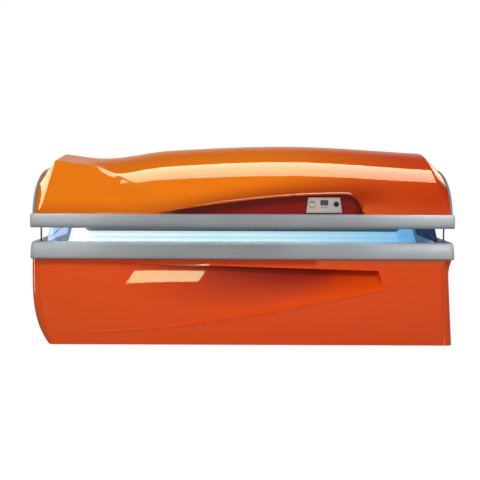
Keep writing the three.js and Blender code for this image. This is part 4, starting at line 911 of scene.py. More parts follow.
def canopy_stations():
    places = set(spaced(-CREASE_FOOT[-1], CREASE_FOOT[1], 120))
    places.update(spaced(RECESS_TURN, RECESS_RIGHT + 0.004, 18))
    places.update(spaced(*SHOULDER_ZONE, 90))
    for side, foot in CREASE_FOOT.items():
        places.update(side * (foot + d) for d in (-0.012, -0.008, -0.004, 0.004, 0.008, 0.012))
        places.update(side * q for q in spaced(foot, foot + FACET, 6))
    ordered = sorted(places)
    return [q for i, q in enumerate(ordered) if i == 0 or q - ordered[i - 1] > 1e-3]


canopy_rows = [soft_row(q) for q in canopy_stations()]
print("canopy rows:", len(canopy_rows), "points in each:", len(canopy_rows[0]))

# %% [markdown]
# The rows become one sheet with a thin wall. In the recess, and faintly above its ledge, shade is painted
# into the colour, which turns a deeper red. Every point of the mesh notes how much painted shade it takes,
# and the lacquer reads that note, which follows the shape more closely than a painted picture would.

# %% Canopy skin
form = sheet_form(len(canopy_rows) - 1, len(canopy_rows[0]) - 1, lambda i, k: canopy_rows[i][k])
canopy_skin = finished(
    "canopy_skin", form, canopy_lacquer, "canopy", "canopy_shell",
    slot="orange_gelcoat", sharp=36, recalc=False, wall=MOULDED_WALL,
)


def mark_painted_shade(piece, share_at):
    """Notes on every point how much painted shade it takes, from 0 to 1."""
    note = piece.data.attributes.new("painted_shade", "FLOAT", "POINT")
    for vert in piece.data.vertices:
        note.data[vert.index].value = clamp01(share_at(vert.co))


def recess_depth(point):
    z = point.z - SHELL_FOOT
    if point.y > 0 or not RECESS_LEFT < point.x < RECESS_RIGHT or z > ledge_height(point.x) - 0.001:
        return 0.0
    return point.y + SHELL_REACH * math.sqrt(1 - (z / crown_height(point.x)) ** 2) - 0.006


def ledge_shade(point):
    """The painted shade over the recess, which fades up the front and towards both ends."""
    x, z = point.x, point.z - SHELL_FOOT
    if point.y >= 0:
        return 0.0
    most = mix(*SHADE_SHARE, smoothstep((x + 0.7) / 0.95))
    most *= mix(1.0, SHADE_END_SHARE, smoothstep((x - 0.58) / 0.3))
    reach = mix(*SHADE_REACH, smoothstep((x + 0.6) / 1.2))
    rise = smoothstep(z / 0.09) if x > RECESS_RIGHT else 1.0
    return most * rise * (1 - smoothstep((z - ledge_sweep(x)) / reach))


mark_painted_shade(canopy_skin, lambda point: max(recess_depth(point) / RECESS_FULL, ledge_shade(point)))
for stand in crown_lights:
    shine_only_on(stand, canopy_skin)
print("canopy skin:", len(canopy_skin.data.polygons), "faces")

# %% [markdown]
# ## Base front panel
# The front of the base bulges slightly and carries a long scoop that starts as nothing at the left,
# deepens to the right under a sharp ledge and ends at a leaning edge. A low ridge follows the scoop's
# lower crease. It is laid out as the canopy is: rows across the bed, each with points at the floor, the
# ridge, the sunk face, the ledge and the strip below the rail.

# %% Base panel outlines
PANEL_TOP = 0.4697
FLOOR_GAP = 0.008
BULGE_Z = 0.288
PANEL_Y = NOSE_Y + 0.026
TOP_FALL, FOOT_FALL = 0.012, 0.014
LEFT_REACH, LEFT_DRAW = 1.126, 0.084
RIGHT_REACH, RIGHT_LIP, RIGHT_FLARE = 1.106, 0.020, 0.022
WAIST_DROP = 0.087
SCOOP_LEFT = -0.970
SCOOP_RIGHT = 0.735
SCOOP_DEPTH = 0.042
SCOOP_DROP = (0.014, 0.060)
SCOOP_FOOT = (0.070, 0.310)
SCOOP_LEAN, LEAN_REACH = 0.030, 0.3
SCOOP_EDGE = 0.012
SCOOP_GROWTH = 0.75
SCOOP_FULL = 0.026
PANEL_CORNER = 0.040
PANEL_SEAM = 0.0012
RIDGE, RIDGE_HALF, RIDGE_ROOM = 0.0025, 0.008, 0.012


def panel_fall(z):
    return clamp01((PANEL_TOP - z) / (PANEL_TOP - FLOOR_GAP))


def end_reach(side, z):
    if side < 0:
        return LEFT_REACH - LEFT_DRAW * panel_fall(z) ** 3.8
    waist = PANEL_TOP - WAIST_DROP
    lip = RIGHT_LIP * max(0.0, (z - waist) / WAIST_DROP) ** 2
    flare = RIGHT_FLARE * max(0.0, (waist - z) / (waist - FLOOR_GAP)) ** 1.2
    return RIGHT_REACH + lip + flare


def panel_end(side, z):
    """Where the front panel ends and the end panel's corner begins."""
    return side * (end_reach(side, z) - PANEL_CORNER - PANEL_SEAM)


def front_y(z):
    if z > BULGE_Z:
        return PANEL_Y + TOP_FALL * ((z - BULGE_Z) / (PANEL_TOP - BULGE_Z)) ** 2
    return PANEL_Y + FOOT_FALL * ((BULGE_Z - z) / (BULGE_Z - FLOOR_GAP)) ** 2


def scoop_along(x):
    return clamp01((x - SCOOP_LEFT) / (SCOOP_RIGHT - SCOOP_LEFT))


def scoop_depth(x):
    edge = smoothstep((SCOOP_RIGHT - x) / SCOOP_EDGE)
    return SCOOP_DEPTH * smoothstep(scoop_along(x) / SCOOP_GROWTH) * edge


def panel_row(x, left_middle, right_middle):
    share = (x - left_middle) / (right_middle - left_middle)
    along = scoop_along(x)
    top = PANEL_TOP - mix(*SCOOP_DROP, along)
    foot = mix(*SCOOP_FOOT, along ** 1.7)
    deep = top - UNDERCUT
    depth = scoop_depth(x)
    lean = SCOOP_LEAN * max(0.0, 1 - abs(x - SCOOP_RIGHT) / LEAN_REACH)
    ridge = RIDGE * smoothstep(along * 8) * smoothstep((SCOOP_RIGHT + 0.015 - x) / 0.020)
    steps = [(z, 0.0) for z in spaced(FLOOR_GAP, foot - RIDGE_ROOM, 8)]
    for rise in spaced(-RIDGE_HALF, RIDGE_HALF, 6):
        proud = ridge * (1 - (rise / RIDGE_HALF) ** 2)
        steps.append((foot + rise, depth * max(rise, 0) / (deep - foot) - proud))
    steps += [(mix(foot, deep, s), depth * s) for s in spaced(RIDGE_ROOM / (deep - foot), 1.0, 11)]
    steps += [(deep + 0.0015, depth * 0.66), (deep + 0.003, depth * 0.33)]
    steps += [(z, 0.0) for z in spaced(top, PANEL_TOP, 4)]
    row = []
    for z, sunk in steps:
        slope = clamp01((top - z) / (top - foot))
        across = mix(panel_end(-1, z), panel_end(1, z), share)
        row.append(Vector((across + lean * slope, front_y(z) + sunk, z)))
    return row


print("front panel from", round(panel_end(-1, PANEL_TOP), 3), "to", round(panel_end(1, PANEL_TOP), 3))

# %% [markdown]
# The rows stand closer together at the scoop's right end, where the surface turns fast. Shade is painted into
# the scoop from its depth, which is noted on the mesh in the same way as the canopy's recess.

# %% Front panel skin
middle_z = (PANEL_TOP + FLOOR_GAP) / 2
left_middle, right_middle = panel_end(-1, middle_z), panel_end(1, middle_z)
panel_stations = sorted(
    set(spaced(left_middle, SCOOP_RIGHT - 0.020, 90))
    | set(spaced(SCOOP_RIGHT - 0.016, SCOOP_RIGHT + 0.004, 8))
    | set(spaced(SCOOP_RIGHT + 0.010, right_middle, 16))
)
panel_rows = [panel_row(x, left_middle, right_middle) for x in panel_stations]
form = sheet_form(len(panel_rows) - 1, len(panel_rows[0]) - 1, lambda i, k: panel_rows[i][k])
front_panel_skin = finished(
    "front_panel_skin", form, base_lacquer, "base", "base_front_panel",
    slot="orange_gelcoat", sharp=40, recalc=False, wall=MOULDED_WALL,
)


def scoop_shade(point):
    """The painted shade in the scoop: its depth, played down towards its right end, where it opens to the
    light.
    """
    sunk = point.y - front_y(point.z) - 0.005
    return sunk * mix(1.0, 0.45, smoothstep((point.x - 0.30) / 0.35)) / SCOOP_FULL


mark_painted_shade(front_panel_skin, scoop_shade)
shine_only_on(card, front_panel_skin)
shine_only_on(lip_shine, front_panel_skin)
print("front panel rows:", len(panel_rows))

# %% [markdown]
# ## End panels
# Each end of the base is one sheet that turns the front corner, runs back along the end and turns the
# rear corner. The left end draws in towards the floor and the right end spreads, which is what gives
# the bed its leaning stance.

# %% End panels
REAR_Y = 0.575
RETURN_X = 0.925


def end_path(side, z):
    reach, front, r = end_reach(side, z), front_y(z), PANEL_CORNER
    path = [(reach - r + r * out, front + r + r * back) for out, back in arc(-90, 0, 12)]
    path += [(reach, y) for y in spaced(front + r, REAR_Y - r, 12)[1:-1]]
    path += [(reach - r + r * out, REAR_Y - r + r * back) for out, back in arc(0, 90, 10)]
    path += [(x, REAR_Y) for x in spaced(reach - r, RETURN_X, 4)[1:]]
    ordered = [Vector((side * x, y, z)) for x, y in path]
    return ordered if side > 0 else ordered[::-1]


end_skins = []
for name, side in SIDES:
    levels = [end_path(side, z) for z in spaced(FLOOR_GAP, PANEL_TOP, 28)]
    form = sheet_form(len(levels[0]) - 1, len(levels) - 1, lambda i, k: levels[k][i])
    end_skins.append(finished(
        f"{name}_end_skin", form, base_lacquer, "base", f"base_{name}_end_panel",
        slot="orange_gelcoat", sharp=60, recalc=False, wall=MOULDED_WALL,
    ))
shine_only_on(left_edge, *end_skins)
print("end panels dressed")

# %% [markdown]
# ## Silver rails
# Two drawn rails face each other across the mouth. The base's rail has a full round top and the
# canopy's rail a shallow bulge. Each is one outline pushed along the bed, which is how such a rail is
# made, so nothing more than an extrusion is needed.

# %% Front rails
RAIL_DEPTH = 0.076
RAIL_BACK = NOSE_Y + RAIL_DEPTH
RAIL_LIP = 0.009
RAIL_BULGE = 0.014
BASE_RAIL_HALF = 1.0847


def round_nose(low, high):
    """(y, z) points up the base rail's front: a small lower lip, then a quarter oval."""
    foot = low + RAIL_LIP
    lip = [(NOSE_Y + RAIL_LIP * (1 - up), foot - RAIL_LIP * out) for out, up in arc(0, 90, 4)]
    oval = [(RAIL_BACK - RAIL_DEPTH * out, foot + (high - foot) * up) for out, up in arc(0, 90, 18)]
    return lip + oval[1:]


def bulged_nose(low, high):
    """(y, z) points up the canopy rail's front: a shallow bulge."""
    middle, half = (low + high) / 2, (high - low) / 2
    return [(NOSE_Y + RAIL_BULGE * (1 - out), middle + half * up) for out, up in arc(-90, 90, 24)]


base_rail_low, base_rail_high = (corner.z for corner in map(Vector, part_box("base_front_rail")))
canopy_rail_low, canopy_rail_high = (corner.z for corner in map(Vector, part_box("canopy_front_rail")))
base_nose = round_nose(base_rail_low, base_rail_high)
canopy_nose = bulged_nose(canopy_rail_low, canopy_rail_high)
rails = []
for node, nose, body, half_length in (
    ("base_front_rail", base_nose, "base", BASE_RAIL_HALF),
    ("canopy_front_rail", canopy_nose, "canopy", CAP_X),
):
    ring = [*nose, (RAIL_BACK, nose[-1][1]), (RAIL_BACK, nose[0][1])]
    ring = [p for i, p in enumerate(ring) if i == 0 or math.dist(p, ring[i - 1]) > 1e-5]
    form = extruded_form([(-half_length, y, z) for y, z in ring], (2 * half_length, 0, 0))
    rails.append(finished(f"{node}_drawn", form, satin_silver, body, node, slot="satin_silver", sharp=30))
print("rails at", round(base_rail_high, 3), "and", round(canopy_rail_low, 3))

# %% [markdown]
# At each end the rail turns the corner and runs to the rear. These pieces are skinned over a row of
# outlines that draw in towards the end, which rounds the corner in plan and in section together.

# %% End rails


def loft_form(sections):
    """A solid skinned over closed outlines, one after another, closed at both ends."""
    count = len(sections[0])
    form = sheet_form(len(sections) - 1, count, lambda i, k: sections[i][k % count])
    bmesh.ops.remove_doubles(form, verts=form.verts, dist=1e-6)
    bmesh.ops.edgeloop_fill(form, edges=[e for e in form.edges if e.is_boundary])
    return form


def cut_window(form, low, high):
    """Takes out the faces whose middles lie between two (x, y) corners."""
    inside = []
    for face in form.faces:
        middle = face.calc_center_median()
        if low[0] < middle.x < high[0] and low[1] < middle.y < high[1]:
            inside.append(face)
    bmesh.ops.delete(form, geom=inside, context="FACES")


def turned_corner(nose, side, inner, outer, corner, soft):
    """The rail's outline carried round an end: outlines from the inner to the outer face."""
    ring = nose + [(-y, z) for y, z in reversed(nose)]
    top = max(z for _, z in ring)

    def drawn_in(x, radius):
        return radius - math.sqrt(max(0.0, radius ** 2 - max(0.0, x - (outer - radius)) ** 2))

    sections = []
    for x in [inner] + [outer - corner + corner * turn for _, turn in arc(0, 90, 12)]:
        draw, high = drawn_in(x, corner), top - drawn_in(x, soft)
        sections.append([Vector((side * x, y - math.copysign(draw, y), min(z, high))) for y, z in ring])
    return loft_form(sections)


END_X = 1.130
SEAT = 0.0003
NOTCH_FRONT, NOTCH_REAR, NOTCH_X = 0.2675, 0.3748, 1.076
DECK_X = (1.0403, NOTCH_X, 1.0856)
DECK_Y = (RAIL_BACK + SEAT, NOTCH_FRONT, NOTCH_REAR, 0.5697)
for name, side in SIDES:
    form = turned_corner(base_nose, side, BASE_RAIL_HALF + SEAT, END_X, corner=0.030, soft=0.012)
    rails.append(finished(
        f"{name}_end_rail_turned", form, satin_silver, "base", f"base_{name}_end_rail",
        slot="satin_silver", sharp=34,
    ))
    form = sheet_form(2, 3, lambda i, k: Vector((side * DECK_X[i], DECK_Y[k], base_rail_high)))
    cut_window(form, (-NOTCH_X, NOTCH_FRONT), (NOTCH_X, NOTCH_REAR))
    if side < 0:
        bmesh.ops.reverse_faces(form, faces=form.faces)
    finished(f"{name}_end_deck", form, satin_silver, "base", slot="satin_silver", recalc=False, wall=0.006)
print("end rails turned")

# %% [markdown]
# ## Canopy end caps
# A cap closes each end of the canopy: a silver band that carries the rail round the corner, and above
# it a thin grey plate, half an oval and a little proud of the shell. The plate is an outline pushed out
# and then bevelled, with a shallow field pressed into its face by an inset.

# %% End caps
CAP_INNER = 1.104
CAP_PLATE = 0.012
CAP_HALF, CAP_RISE = 0.580, 0.237
STUD = (0.250, 0.668)
STUD_X, STUD_RADIUS, STUD_LENGTH = 1.0703, 0.006, 0.0345

for name, side in SIDES:
    band = turned_corner(canopy_nose, side, CAP_INNER, END_X, corner=0.0208, soft=0.006)
    foot = canopy_rail_high - 0.002
    oval = [(side * CAP_INNER, -CAP_HALF * out, foot + CAP_RISE * up) for out, up in arc(0, 180, 64)]
    plate = extruded_form(oval, (side * CAP_PLATE, 0, 0))
    outer_rim = []
    for edge in plate.edges:
        outside = all(abs(abs(v.co.x) - CAP_INNER - CAP_PLATE) < 1e-5 for v in edge.verts)
        if outside and sum(v.co.z for v in edge.verts) / 2 > canopy_rail_high:
            outer_rim.append(edge)
    bmesh.ops.bevel(
        plate, geom=outer_rim, offset=0.005, offset_type="OFFSET", segments=4, profile=0.5,
        affect="EDGES", material=-1,
    )
    face = max(plate.faces, key=lambda f: side * f.calc_center_median().x * f.calc_area())
    for width, depth in ((0.045, 0.0), (0.004, -0.0025)):
        bmesh.ops.inset_individual(plate, faces=[face], thickness=width, depth=depth)
    stud = turned_form(
        [(0, 0), (STUD_RADIUS, 0), (STUD_RADIUS, STUD_LENGTH), (0, STUD_LENGTH)],
        (side * STUD_X, *STUD), (side, 0, 0), 20,
    )
    rails.append(finished(f"{name}_cap_band", band, satin_silver, "canopy", slot="satin_silver", sharp=34))
    finished(
        f"{name}_cap_plate", merged(plate, stud), grey_trim, "canopy", f"canopy_{name}_end_cap",
        slot="grey_trim", sharp=32,
    )
for stand in rail_lights:
    shine_only_on(stand, *rails)
print("end caps closed")

# %% [markdown]
# ## Clear sheets and reflectors
# The bench is a clear sheet bent into a shallow bed, and the canopy's sheet is a wide arch. Behind each
# lies a bright reflector. All four are one curve across the bed, so a grid with a single long column
# for each curve point is enough, and a wall gives the sheet its thickness.

# %% Curves across the bed
BENCH_FRONT_Y = RAIL_BACK + SEAT
BENCH_LOW_Y = -0.060
BENCH_REAR_Y = 0.425
BENCH_SINK = 0.097
FRONT_RISE, REAR_RISE = 0.085, 0.151
BENCH_HALF = 1.0337
ARCH_Y = -0.024
ARCH_REAR_Y = 0.4657
ARCH_LIFT = 0.037
ARCH_HALF = 1.040
LAMP_HALF = 0.9504
SHEET_ARCH = (0.423, 0.212)
LAMP_ARCH = (0.452, 0.241)
MIRROR_ARCH = (0.480, 0.269)
LAMP_DEPTH, MIRROR_DEPTH = 0.034, 0.059


def bench_z(y):
    low = base_rail_high - BENCH_SINK
    if y < BENCH_LOW_Y:
        return low + FRONT_RISE * ((y - BENCH_LOW_Y) / (BENCH_LOW_Y - BENCH_FRONT_Y)) ** 2
    return low + REAR_RISE * ((y - BENCH_LOW_Y) / (BENCH_REAR_Y - BENCH_LOW_Y)) ** 2


def below_bench(y, depth):
    """A point this far under the bench's skin, square to it."""
    slope = (bench_z(y + 1e-4) - bench_z(y - 1e-4)) / 2e-4
    reach = math.hypot(1, slope)
    return y + depth * slope / reach, bench_z(y) - depth / reach


def arch_point(half_span, rise, foot, angle):
    turn = math.radians(angle)
    return ARCH_Y - half_span * math.cos(turn), foot + rise * math.sin(turn)


def curved_sheet(curve, half_length):
    """A sheet along the bed over a curve of (y, z) points."""
    return sheet_form(1, len(curve) - 1, lambda i, k: Vector(((2 * i - 1) * half_length, *curve[k])))


arch_foot = canopy_rail_low + ARCH_LIFT
bench_curve = [(y, bench_z(y)) for y in spaced(BENCH_FRONT_Y, BENCH_REAR_Y, 60)]
arch_curve = [(BENCH_FRONT_Y, arch_foot)]
arch_curve += [arch_point(*SHEET_ARCH, arch_foot, a) for a in spaced(0, 180, 72)]
arch_curve += [(ARCH_REAR_Y, arch_foot)]
print("bench dips to", round(min(z for _, z in bench_curve), 3))

# %% Sheets
SHEET_WALL = 0.005
MIRROR_WALL = 0.003
TROUGH_Y = (-0.455, 0.366)

finished(
    "bench_clear_sheet", curved_sheet(bench_curve, BENCH_HALF), clear_acrylic, "base", "bench_acrylic",
    slot="clear_acrylic", recalc=False, wall=SHEET_WALL,
)
finished(
    "canopy_clear_sheet", curved_sheet(arch_curve, ARCH_HALF), clear_acrylic, "canopy", "canopy_acrylic",
    slot="clear_acrylic", sharp=50, recalc=False, wall=SHEET_WALL,
)
trough = [below_bench(y, MIRROR_DEPTH) for y in spaced(*TROUGH_Y, 50)]
vault = [arch_point(*MIRROR_ARCH, arch_foot, a) for a in spaced(4, 176, 60)]
for half, curve, body in (("bench", trough, "base"), ("canopy", vault, "canopy")):
    finished(
        f"{half}_mirror", curved_sheet(curve, LAMP_HALF), bright_sheet, body, f"{half}_reflector",
        slot="bright_reflector", recalc=False, wall=MIRROR_WALL,
    )
print("sheets and reflectors bent")

# %% [markdown]
# ## Lamps
# The lamp banks are rows of long fluorescent tubes, each a turned glass body with a moulded cap at either
# end. The caps glow with painted light, pale at the left and blue at the right, as the lamps' light makes
# them look. One spun profile is placed again and again along the curve, which keeps every tube alike.

# %% Lamp banks
LAMP_RADIUS = 0.019
LAMP_CAP = 0.014
LAMP_MARGIN = 0.060


def lamp_form(y, z):
    r, end, cap = LAMP_RADIUS, LAMP_HALF, LAMP_HALF - LAMP_CAP
    half = [
        (r - 0.0015, cap - 0.004), (r - 0.0005, cap), (r, cap + 0.002),
        (r, end - 0.003), (r - 0.003, end), (0, end),
    ]
    profile = [(radius, -height) for radius, height in reversed(half)] + half
    return turned_form(profile, (0, y, z), (1, 0, 0), 20)


def lamp_bank(name, axes, body, nodes):
    form = merged(*[lamp_form(y, z) for y, z in axes])
    bank = finished(name, form, lit_phosphor, body, *nodes, slot="lamp_tube", sharp=50)
    bank.data.materials.append(pale_holder_painted_glow)
    bank.data.materials.append(blue_holder_painted_glow)
    for face in bank.data.polygons:
        if abs(face.center.x) > LAMP_HALF - LAMP_CAP - 0.003:
            face.material_index = 1 if face.center.x < 0 else 2


bench_span = spaced(BENCH_FRONT_Y + LAMP_MARGIN, BENCH_REAR_Y - LAMP_MARGIN, 15)
bench_axes = [below_bench(y, LAMP_DEPTH) for y in bench_span]
canopy_axes = [arch_point(*LAMP_ARCH, arch_foot, a) for a in spaced(22, 158, 16)]
lamp_bank("bench_lamp_bank", bench_axes, "base", [f"bench_lamp_{i}" for i in range(1, 5)])
lamp_bank("canopy_lamp_bank", canopy_axes, "canopy", [f"canopy_lamp_{i}" for i in range(1, 6)])
print("lamps:", len(bench_axes), "below and", len(canopy_axes), "above")

# %% [markdown]
# The tubes plug into holders at both ends: a moulded block that follows the curve, with a collar round every
# tube. The holders' glow is painted light: the left ones pale and the right ones deep blue, as they look in
# the lit bed.

# %% Lamp holders
HOLDER_INNER = LAMP_HALF + SEAT
HOLDER_MARGIN = 0.045
HOLDER_TOP, HOLDER_FOOT = 0.0053, 0.067
HOLDER_INSIDE = (0.4236, 0.2123)
HOLDER_OUTSIDE = (0.4897, 0.274)
COLLAR = [
    (0.0195, 0.0), (0.0225, 0.0), (0.0225, -0.010), (0.0215, -0.012), (0.0195, -0.012), (0.0195, 0.0),
]


def holder_form(side, inner_curve, outer_curve, outer_x, axes):
    ring = [(side * HOLDER_INNER, y, z) for y, z in [*inner_curve, *reversed(outer_curve)]]
    block = extruded_form(ring, (side * (outer_x - HOLDER_INNER), 0, 0))
    face_x = side * (HOLDER_INNER + 0.001)
    collars = [turned_form(COLLAR, (face_x, y, z), (side, 0, 0), 20) for y, z in axes]
    return merged(block, *collars)


bench_y = spaced(RAIL_BACK + HOLDER_MARGIN, BENCH_REAR_Y - HOLDER_MARGIN, 40)
bench_curves = [[below_bench(y, depth) for y in bench_y] for depth in (HOLDER_TOP, HOLDER_FOOT)]
canopy_curves = []
for half_span, rise in (HOLDER_INSIDE, HOLDER_OUTSIDE):
    canopy_curves.append([arch_point(half_span, rise, arch_foot + SEAT, a) for a in spaced(0, 180, 60)])
for name, side, finish in (("left", -1, pale_holder_painted_glow), ("right", 1, blue_holder_painted_glow)):
    for half, body, curves, outer_x, axes in (
        ("bench", "base", bench_curves, BENCH_HALF, bench_axes),
        ("canopy", "canopy", canopy_curves, ARCH_HALF, canopy_axes),
    ):
        finished(
            f"{half}_{name}_holder", holder_form(side, *curves, outer_x, axes), finish, body,
            f"{half}_{name}_lampholder", slot="white_holder", sharp=34,
        )
print("holders placed")

# %% [markdown]
# ## Ends of the mouth
# A low upright sheet closes the mouth at each end, its front edge cut back at a slant, with a dark trim
# strip along its inner face. Outside it a slim post stands on the end of the rail. The sheet is the
# solid's own outline with its edges eased.

# %% End walls and posts
WALL_SLANT = 0.100
STRIP_HALF = Vector((0.0009, 0.246, 0.0018))
STRIP_PLACE = (1.0415, -0.205, 0.594)
STRIP_TILT = 4.3
POST_X = (1.077, 1.0845)

for name, side in SIDES:
    low, high = map(Vector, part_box(f"{name}_end_screen"))
    outline = [
        (low.y, low.z), (low.y, low.z + 0.006), (low.y + WALL_SLANT, high.z),
        (high.y, high.z), (high.y, low.z),
    ]
    form = extruded_form([(low.x, y, z) for y, z in outline], (high.x - low.x, 0, 0))
    finished(
        f"{name}_end_wall", soften(form, 0.0015), frosted_wall_painted_glow, "base", f"{name}_end_screen",
        slot="clear_acrylic",
    )
    strip = block_form(-STRIP_HALF, STRIP_HALF, 0.0006)
    x, y, z = STRIP_PLACE
    lie = Matrix.Translation((side * x, y, z)) @ Matrix.Rotation(math.radians(STRIP_TILT), 4, "X")
    bmesh.ops.transform(strip, matrix=lie, verts=strip.verts)
    finished(f"{name}_wall_strip", strip, powder_coat, "base", slot="frame_steel")
    inner, outer = sorted(side * x for x in POST_X)
    post = block_form((inner, -0.508, 0.5602), (outer, -0.494, 0.632), 0.0015)
    foot = block_form((inner - 0.003, -0.5125, 0.5599), (outer + 0.003, -0.488, 0.5632), 0.001)
    finished(f"{name}_end_post", merged(post, foot), powder_coat, "base", slot="frame_steel")
print("end walls stand", round(high.z - low.z, 3), "high")

# %% [markdown]
# ## Control panel
# The panel is a silver box that leans out of the recess, wider below than above; its warm tint is a painted
# reflection of the orange round it. It holds a chrome timer knob, a dark display with three small keys and a
# round start button. The box is an outline pushed back and rounded, with a fine groove inset round its face.
# The button needs a real hole, so that it can go in: a Boolean modifier cuts it.

# %% Panel box
panel_low, panel_high = map(Vector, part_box("control_panel"))
FACE_Y = panel_low.y
PANEL_TAPER = 0.012
CONTROL_Z = 0.7643
KNOB = Vector((0.371, FACE_Y, CONTROL_Z))
BUTTON = Vector((0.499, FACE_Y, CONTROL_Z))
BUTTON_HOLE = 0.0136
DISPLAY = Vector((0.435, FACE_Y, 0.7723))

# Silver with a warm tint that paints in the reflection of the orange lacquer round it.
panel_silver_painted_reflection = grained_finish(
    "panel_silver_painted_reflection", (190, 176, 166), (180, 168, 160), 900.0, 0.32, 0.42, 0.02,
    group=drawn_lines, Metallic=0.35,
)


def cut_hole(piece, cutter):
    """Takes the cutter's form away from the piece."""
    mesh = bpy.data.meshes.new("cutter")
    cutter.to_mesh(mesh)
    cutter.free()
    tool = bpy.data.objects.new("cutter", mesh)
    scene.collection.objects.link(tool)
    drill = piece.modifiers.new("hole", "BOOLEAN")
    drill.object = tool
    drill.solver = "EXACT"
    settle(piece)
    bpy.data.objects.remove(tool)
    bpy.data.meshes.remove(mesh)
    piece.data.set_sharp_from_angle(angle=math.radians(38))


outline = [
    (panel_low.x, panel_low.z), (panel_high.x, panel_low.z),
    (panel_high.x - PANEL_TAPER, panel_high.z), (panel_low.x + PANEL_TAPER, panel_high.z),
]
form = extruded_form([(x, FACE_Y, z) for x, z in outline], (0, panel_high.y - FACE_Y, 0))
soften(form, 0.005, 4)
form.normal_update()
face = min(form.faces, key=lambda f: f.normal.y * f.calc_area())
for width, depth in ((0.004, 0.0), (0.0008, -0.0008), (0.0008, 0.0008)):
    bmesh.ops.inset_individual(form, faces=[face], thickness=width, depth=depth)
panel_box = finished("panel_box", form, panel_silver_painted_reflection, "canopy", "control_panel", slot="satin_silver")
cut_hole(panel_box, turned_form(
    [(0, -0.020), (BUTTON_HOLE, -0.020), (BUTTON_HOLE, 0.020), (0, 0.020)], BUTTON, (0, 1, 0), 48,
))
print("panel box:", len(panel_box.data.polygons), "faces")

# %% [markdown]
# The knob is turned and then fluted: points on its grip move in and out round the axis. Ticks round it
# show its range, with no figures. The button is dished so that a finger finds it.

# %% Knob and button
grip = [
    (0.0, 0.0), (0.0155, 0.0), (0.016, 0.0008), (0.016, 0.0024), (0.0150, 0.0034), (0.0142, 0.0042),
    (0.0138, 0.0085), (0.0134, 0.0122), (0.0122, 0.0136), (0.0105, 0.0140), (0.0, 0.0140),
]
FLUTES, FLUTE_DEPTH = 20, 0.0009
form = turned_form(grip, KNOB + Vector((0, -SEAT, 0)), (0, -1, 0), 120)
for vert in form.verts:
    arm = Vector((vert.co.x - KNOB.x, 0, vert.co.z - KNOB.z))
    if 0.013 < arm.length < 0.0149:
        flute = 0.5 + 0.5 * math.cos(FLUTES * math.atan2(arm.z, arm.x))
        vert.co -= arm.normalized() * FLUTE_DEPTH * flute
finished("timer_knob_fluted", form, polished_chrome, "timer_knob", "timer_knob", slot="chrome")
pointer = block_form(
    KNOB + Vector((-0.0011, -0.0155, 0.002)), KNOB + Vector((0.0011, -0.0140, 0.0115)), 0.0004,
)
finished("timer_pointer", pointer, black_plastic, "timer_knob", slot="black_plastic")

ticks = []
for angle in spaced(-150, 150, 10):
    tick = block_form((-0.0005, -0.0003, 0.0190), (0.0005, 0.0002, 0.0222), 0.0001)
    turn = Matrix.Translation(KNOB) @ Matrix.Rotation(math.radians(angle), 4, "Y")
    bmesh.ops.transform(tick, matrix=turn, verts=tick.verts)
    ticks.append(tick)
finished("timer_ticks", merged(*ticks), black_plastic, "canopy", slot="black_plastic")

dished = [
    (0.0, 0.0), (0.0124, 0.0), (0.013, 0.0006), (0.013, 0.0076), (0.0126, 0.0084), (0.0116, 0.0090),
    (0.0104, 0.0089), (0.0080, 0.0081), (0.0045, 0.0076), (0.0, 0.0074),
]
form = turned_form(dished, BUTTON + Vector((0, 0.004, 0)), (0, -1, 0), 48)
finished("start_button_dished", form, black_plastic, "start_button", "start_button", slot="black_plastic")
collar = [
    (BUTTON_HOLE, -0.002), (BUTTON_HOLE, 0.0016), (0.0142, 0.0024), (0.0154, 0.0022), (0.0164, 0.0),
    (0.0160, -0.002), (BUTTON_HOLE, -0.002),
]
form = turned_form(collar, BUTTON, (0, -1, 0), 48)
finished("start_button_ring", form, polished_chrome, "canopy", slot="chrome")
print("knob, ticks and button made")

# %% [markdown]
# The display is a dark window in a black bezel, with three keys below it. The bezel is a box whose front
# face is inset twice, which leaves a step for the window. Four screws hold the panel. Each is a turned
# head with a slot pressed across it.

# %% Display, keys and screws
frame_form = block_form(
    DISPLAY - Vector((0.0205, 0.0018, 0.0135)), DISPLAY + Vector((0.0205, -0.0002, 0.0135)), 0.0008,
)
frame_form.normal_update()
front = min(frame_form.faces, key=lambda f: f.normal.y * f.calc_area())
for width, depth in ((0.002, 0.0), (0.0008, -0.0012)):
    bmesh.ops.inset_individual(frame_form, faces=[front], thickness=width, depth=depth)
finished("display_bezel", frame_form, black_plastic, "canopy", slot="black_plastic")
glass = block_form(
    DISPLAY - Vector((0.0172, 0.0010, 0.0102)), DISPLAY + Vector((0.0172, 0.0002, 0.0102)), 0.0003,
)
finished("display_glass", glass, dark_window, "canopy", "display_window", slot="dark_glass")

KEY_SPACE, KEY_DROP = 0.0135, 0.0235
keys = []
for step in (-1, 0, 1):
    middle = DISPLAY + Vector((step * KEY_SPACE, 0, -KEY_DROP))
    low, high = middle - Vector((0.0048, 0.0016, 0.0030)), middle + Vector((0.0048, 0.0004, 0.0030))
    keys.append(block_form(low, high, 0.0009, 3))
finished("display_keys", merged(*keys), grey_trim, "canopy", slot="grey_trim")

SCREW_DOME = [(0, 0.0), (1, 0.0), (1, 0.2), (0.8, 0.42), (0.4, 0.52), (0, 0.55)]


def screw_form(place, axis, radius):
    """A domed screw head with a slot pressed across it."""
    dome = [(radius * out, radius * up) for out, up in SCREW_DOME]
    head = turned_form(dome, (0, 0, 0), (0, 0, 1), 20)
    for vert in head.verts:
        if abs(vert.co.y) < radius * 0.16 and vert.co.z > 0:
            vert.co.z = max(vert.co.z - radius * 0.25, radius * 0.1)
    return stood_up(head, place, axis)


